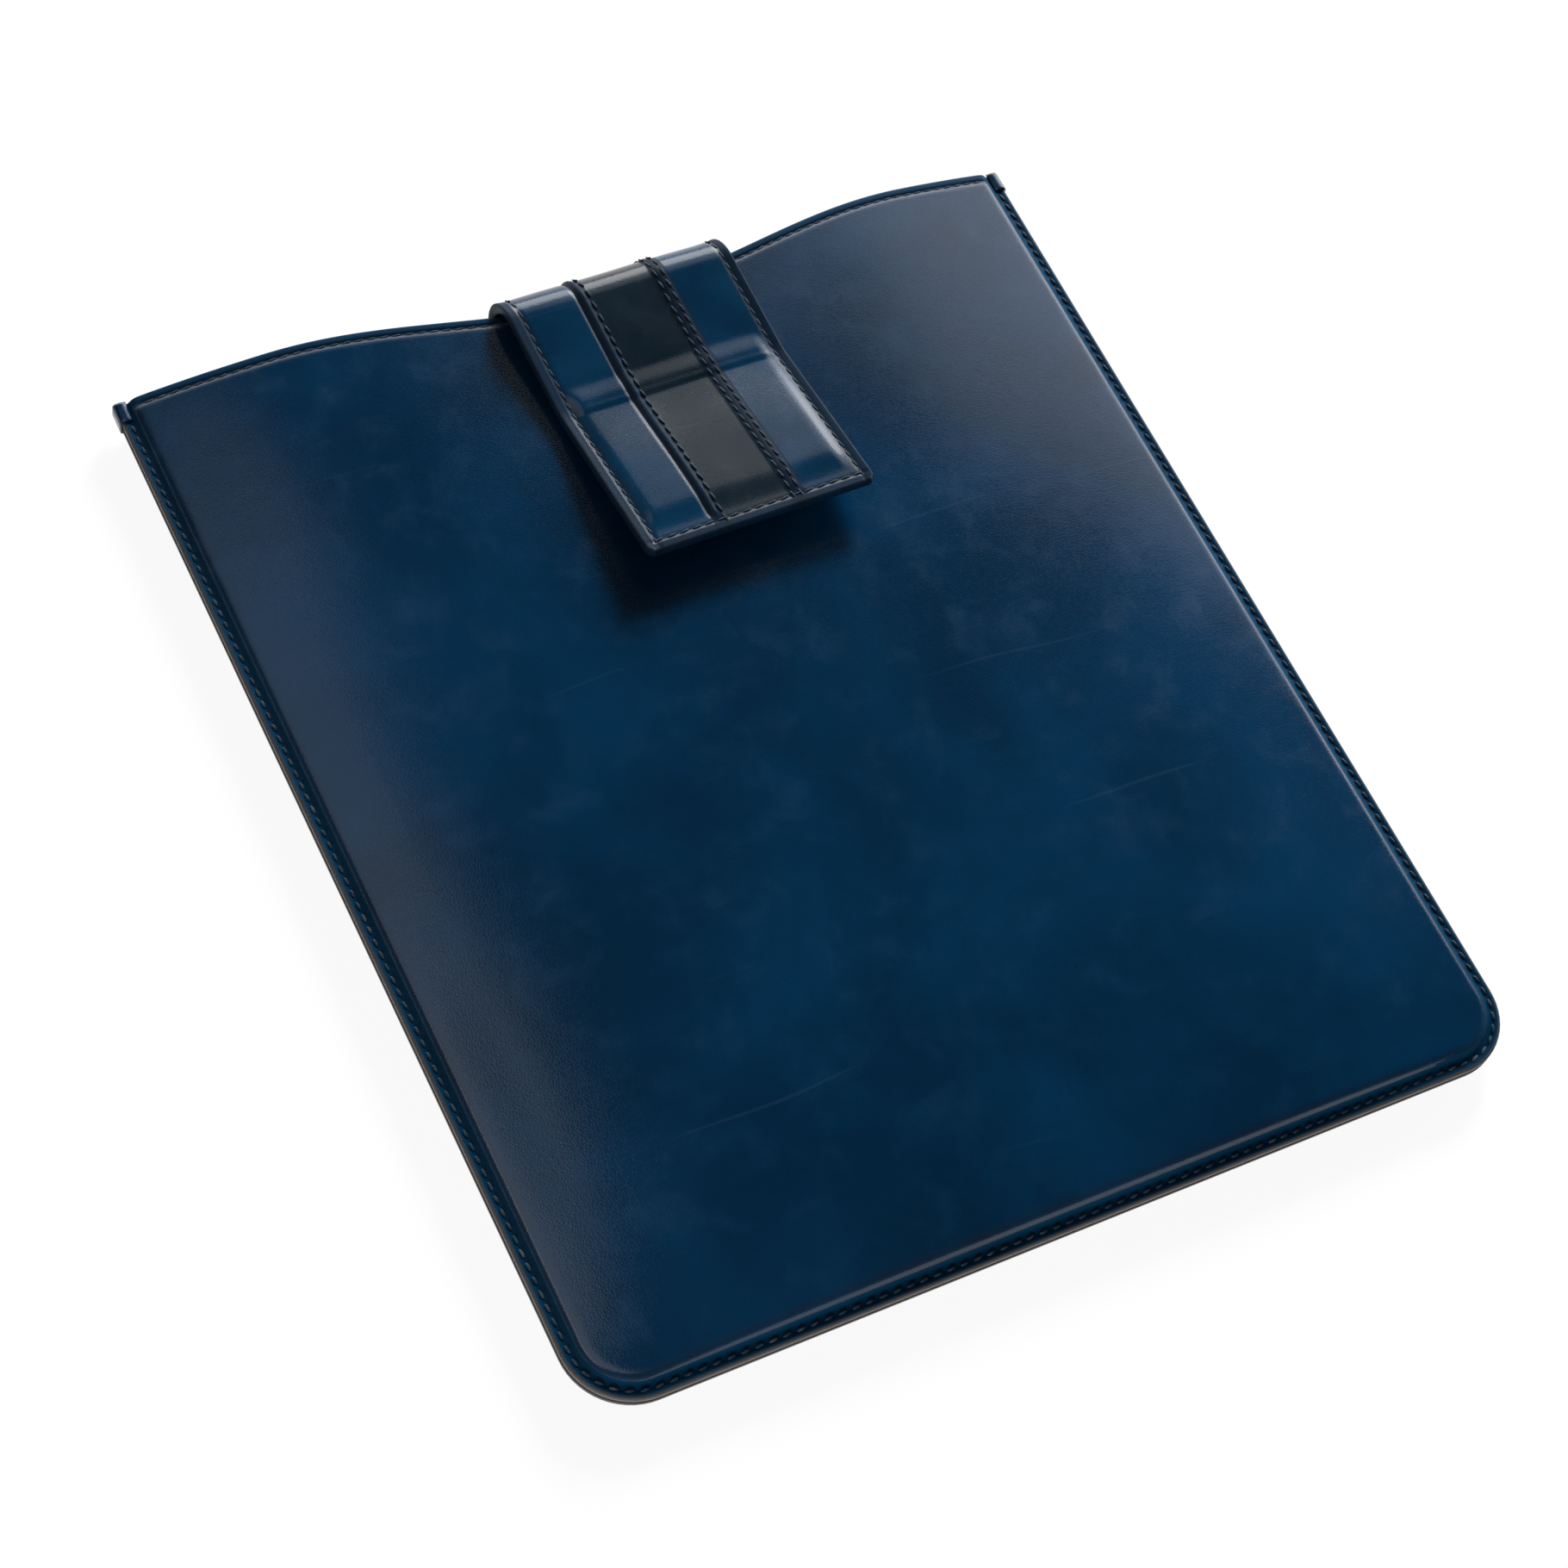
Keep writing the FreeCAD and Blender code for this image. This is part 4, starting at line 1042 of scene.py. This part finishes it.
def sewn(name, rows, seed, changes):
    # rows: lists of (points, facing) in millimetres; the result is one plain mesh
    points, edges, ways = [], [], []
    for line, normals in rows:
        base = len(points)
        points += [tuple(np.asarray(p) * mm) for p in line]
        ways += [tuple(n) for n in normals]
        edges += [(base + i, base + i + 1) for i in range(len(line) - 1)]
    guide = bpy.data.meshes.new(name + "_guide")
    guide.from_pydata(points, edges, [])
    layer = guide.attributes.new("facing", "FLOAT_VECTOR", "POINT")
    layer.data.foreach_set("vector", np.asarray(ways, np.float32).ravel())
    holder = addObject(name + "_guide", guide)
    modifier = holder.modifiers.new("stitches", "NODES")
    modifier.node_group = stitchRow
    values = {label: value * mm for label, value in {**stitch, **changes}.items()}
    values.update({"Slant": stitch["Slant"], "Seed": seed, "Material": waxedThread})
    for item in stitchRow.interface.items_tree:
        if item.item_type == "SOCKET" and item.in_out == "INPUT" and item.name in values:
            modifier[item.identifier] = values[item.name]
    evaluated = holder.evaluated_get(bpy.context.evaluated_depsgraph_get())
    mesh = bpy.data.meshes.new_from_object(evaluated)
    bpy.data.objects.remove(holder)
    bpy.data.meshes.remove(guide)
    if "facing" in mesh.attributes:
        mesh.attributes.remove(mesh.attributes["facing"])
    mesh.name = name
    piece = addObject(name, mesh)
    return piece


sewing = {"seamEnd": 5.6, "seamSink": 0.10, "mouthInset": 7.0, "mouthSteps": 140, "mouthSink": 0.26,
          "backMouth": 0.16, "boxHeight": 0.12, "boxInset": 3.0, "boxNear": -8.0, "boxSteps": 20}


def seamPath(height, up):
    line = uLine(sleeve["stitchRow"])
    x, y = warped(*line[line[:, 1] < sleeve["halfLength"] - sewing["seamEnd"]].T)
    return [(a, b, height) for a, b in zip(x, y)], [(0, 0, up)] * len(x)


def mouthPath(isFront):
    half = sleeve["mouthHalf"] - sewing["mouthInset"]
    x = np.linspace(-half, half, sewing["mouthSteps"])
    y = sleeve["halfLength"] + mouthDip(x) - sleeve["mouthRow"]
    z = crownHeight(x, y) - sewing["mouthSink"] if isFront else np.full(len(x), sewing["backMouth"])
    return list(zip(x, y, z)), [(0, 0, 1 if isFront else -1)] * len(x)


def boxRow():
    # rectangle that holds the strap's tail, seen on the back
    half = halfStrap - sewing["boxInset"]
    near, far = sewing["boxNear"], sewing["boxInset"] - strap["tail"]
    corners = [(-half, near), (half, near), (half, far), (-half, far), (-half, near)]
    line = []
    for (x0, y0), (x1, y1) in zip(corners, corners[1:]):
        for t in np.linspace(0, 1, sewing["boxSteps"], endpoint=False):
            line.append(tuple(strapPlace(x0 + (x1 - x0) * t, y0 + (y1 - y0) * t, sewing["boxHeight"])))
    return line, [(0, 0, -1)] * len(line)


# piece, solid, paths, seed of the lean and sizes
sleeveRows = [
    ("front_seam_stitches", "front_seam_thread", [seamPath(seamTop - sewing["seamSink"], 1)], 1, stitch),
    ("back_seam_stitches", "back_seam_thread", [seamPath(seamBottom + sewing["seamSink"], -1)], 2, stitch),
    ("front_mouth_stitches", "front_mouth_thread", [mouthPath(True)], 11, mouthStitch),
    ("back_stitches", None, [mouthPath(False), boxRow()], 12, mouthStitch),
]
for name, node, rows, seed, sizes in sleeveRows:
    piece = sewn(name, rows, seed, sizes)
    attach(piece, "sleeve")
    if node:
        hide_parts(node)

# place across the strap and height above its face, for each row of thread along it
strapRows = {
    "left edge": (rim["leftRow"] - halfStrap, 0.02), "right edge": (halfStrap - rim["rightRow"], 0.02),
    "left rib": (ribs["leftRow"] - strap["rib"], 0.14),
    "right rib inner": (strap["rib"] - ribs["seamAt"], 0.10),
    "right rib outer": (strap["rib"] + ribs["seamAt"], 0.10),
}
endRow = {"left": 3.6, "right": 3.2, "steps": 40, "above": 0.06}
rowSpan = {"start": 1.0, "beforeEnd": 2.6, "seed": 20}
threadNodes = {"strap_run": "run_thread", "strap_tip": "tip_thread"}


def strapStitchAt(station, x, above):
    # place of a stitch and the way it faces
    c, s = math.cos(strap["skew"]), math.sin(strap["skew"])
    out = station[2]
    lift = float(strapRelief(np.array([x]), station[0])[0]) + above
    return tuple(offPath(station, x, lift)), (-s * out[0], c * out[0], out[1])


for number, (name, bodyA, bodyB, start, end, nodes) in enumerate(strapLengths):
    first = nearestStation(max(start, rowSpan["start"]))
    last = nearestStation(min(end, endAt - rowSpan["beforeEnd"]))
    rows = [[strapStitchAt(station, x, above) for station in stations[first:last + 1]]
            for x, above in strapRows.values()]
    if name == "strap_tip":
        across = stations[nearestStation(endAt - rim["endRow"])]
        rows.append([strapStitchAt(across, x, endRow["above"]) for x in
                     np.linspace(-halfStrap + endRow["left"], halfStrap - endRow["right"], endRow["steps"])])
    rows = [tuple(zip(*row)) for row in rows]
    piece = sewn(name + "_stitches", rows, rowSpan["seed"] + number, strapStitch)
    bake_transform(piece)
    if name in threadNodes:
        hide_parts(threadNodes[name])
print("stitches ready")

# Studio: pale floor, soft lights and the photo's camera; floor and lamps are in metres

studio = {
    "floorHalf": 12.0, "floorZ": -0.0004, "floorTones": ((0.92, 0.92, 0.92), (0.94, 0.94, 0.94)),
    "floorNoise": {"scale": 3.0, "detail": 2.0}, "floorRoughness": 0.9, "floorSpecular": 0.1, "glow": 1.04,
    "glowShare": 0.89, "brightSide": (-0.62, -0.72, 0.30), "brightSpan": (0.0, 0.55),
    "dimRoom": (0.02, 0.022, 0.025), "brightRoom": (0.12, 0.12, 0.12), "backdrop": (1.0, 1.0, 1.0),
}


def floorMaterial():
    # white where it is seen or mirrored, with part of its shading left so that it keeps the shadow
    material, tree, shader = principled("studio_floor")
    tone = noiseNode(tree, objectPlace(tree), **studio["floorNoise"])
    tree.links.new(mixColour(tree, tone, *studio["floorTones"]), shader.inputs["Base Color"])
    shader.inputs["Roughness"].default_value = studio["floorRoughness"]
    shader.inputs["Specular IOR Level"].default_value = studio["floorSpecular"]
    glow = addNode(tree, "ShaderNodeEmission")
    glow.inputs["Strength"].default_value = studio["glow"]
    rays = addNode(tree, "ShaderNodeLightPath").outputs
    mirrored = maths(tree, "MAXIMUM", rays["Is Glossy Ray"], rays["Is Transmission Ray"])
    seen = maths(tree, "MAXIMUM", rays["Is Camera Ray"], mirrored)
    mixed = addNode(tree, "ShaderNodeMixShader")
    parts = (maths(tree, "MULTIPLY", seen, studio["glowShare"]), shader.outputs[0], glow.outputs[0])
    for socket, part in zip(mixed.inputs, parts):
        tree.links.new(part, socket)
    tree.links.new(mixed.outputs[0], tree.nodes["Material Output"].inputs["Surface"])
    return material


floorMesh = bpy.data.meshes.new("studio_floor")
corners = [(-1, -1, 0), (1, -1, 0), (1, 1, 0), (-1, 1, 0)]
floorMesh.from_pydata([Vector(corner) * studio["floorHalf"] for corner in corners], [], [(0, 1, 2, 3)])
floorMesh.materials.append(floorMaterial())
floor = addObject("studio_floor", floorMesh)
floor.location.z = studio["floorZ"]


def studioWorld():
    # a little light from the camera's side, dim behind so that the polish stays deep, white to the camera
    world = bpy.data.worlds.new("studio")
    world.use_nodes = True
    tree = world.node_tree
    towards = addNode(tree, "ShaderNodeVectorMath", operation="DOT_PRODUCT")
    towards.inputs[1].default_value = studio["brightSide"]
    tree.links.new(addNode(tree, "ShaderNodeTexCoord").outputs["Generated"], towards.inputs[0])
    share = mapRange(tree, towards.outputs["Value"], studio["brightSpan"])
    room = mixColour(tree, share, studio["dimRoom"], studio["brightRoom"])
    isCamera = addNode(tree, "ShaderNodeLightPath").outputs["Is Camera Ray"]
    colour = mixColour(tree, isCamera, room, studio["backdrop"])
    tree.links.new(colour, tree.nodes["Background"].inputs["Color"])
    scene.world = world


studioWorld()

# flat lamps face straight down, the others face the sleeve
lamps = {
    "rearSoft": {"at": (1.35, 1.28, 1.0), "size": (1.20, 1.15), "power": 7.0, "flat": True},
    "rearWing": {"at": (0.57, 1.20, 1.0), "size": (0.40, 0.80), "power": 0.75, "flat": True},
    "rearBand": {"at": (0.15, 1.60, 0.56), "size": (1.9, 0.75), "power": 18.0, "unseen": "visible_diffuse"},
    "key": {"at": (1.28, 1.00, 0.37), "size": (1.6, 0.66), "power": 16.0},
    "rearFill": {"at": (2.00, 2.30, 1.50), "size": (0.80, 0.80), "power": 152.0, "unseen": "visible_glossy"},
    "frontFill": {"at": (-0.40, -0.60, 0.11), "size": (0.60, 0.20), "power": 2.1,
                  "unseen": "visible_glossy"},
    "leftStrip": {"at": (-1.0, 0.0, 1.0), "size": (0.30, 0.90), "power": 2.0, "flat": True,
                  "unseen": "visible_diffuse"},
    "overLeft": {"at": (-0.60, 0.0, 1.0), "size": (1.05, 0.85), "power": 2.7, "flat": True,
                 "unseen": "visible_diffuse"},
    "overLeftDim": {"at": (-0.60, 0.60, 1.0), "size": (1.20, 0.35), "power": 0.75, "flat": True,
                    "unseen": "visible_diffuse"},
}
for name, lamp in lamps.items():
    light = bpy.data.lights.new(name, "AREA")
    light.shape = "RECTANGLE"
    light.size, light.size_y = lamp["size"]
    light.energy = lamp["power"]
    holder = addObject(name, light)
    holder.location = lamp["at"]
    if not lamp.get("flat"):
        holder.rotation_euler = (-Vector(lamp["at"])).to_track_quat("-Z", "Y").to_euler()
    if "unseen" in lamp:
        setattr(holder, lamp["unseen"], False)

photoCamera = {
    "lens": 74.017, "sensor": 36.0, "clip": (0.01, 60.0), "at": (-253.4026, -287.4308, 580.7525),
    "right": (0.887882, -0.429077, 0.166007), "up": (0.294787, 0.807606, 0.510756),
    "back": (-0.353223, -0.404555, 0.843546),
}
camera = bpy.data.cameras.new("photo_camera")
camera.sensor_width = photoCamera["sensor"]
camera.lens = photoCamera["lens"]
camera.clip_start, camera.clip_end = photoCamera["clip"]
cameraHolder = addObject("photo_camera", camera)
cameraTurn = Matrix([photoCamera[side] for side in ("right", "up", "back")]).transposed()
cameraHolder.matrix_world = Matrix.LocRotScale(Vector(photoCamera["at"]) * mm, cameraTurn, None)
scene.camera = cameraHolder
print("studio ready")
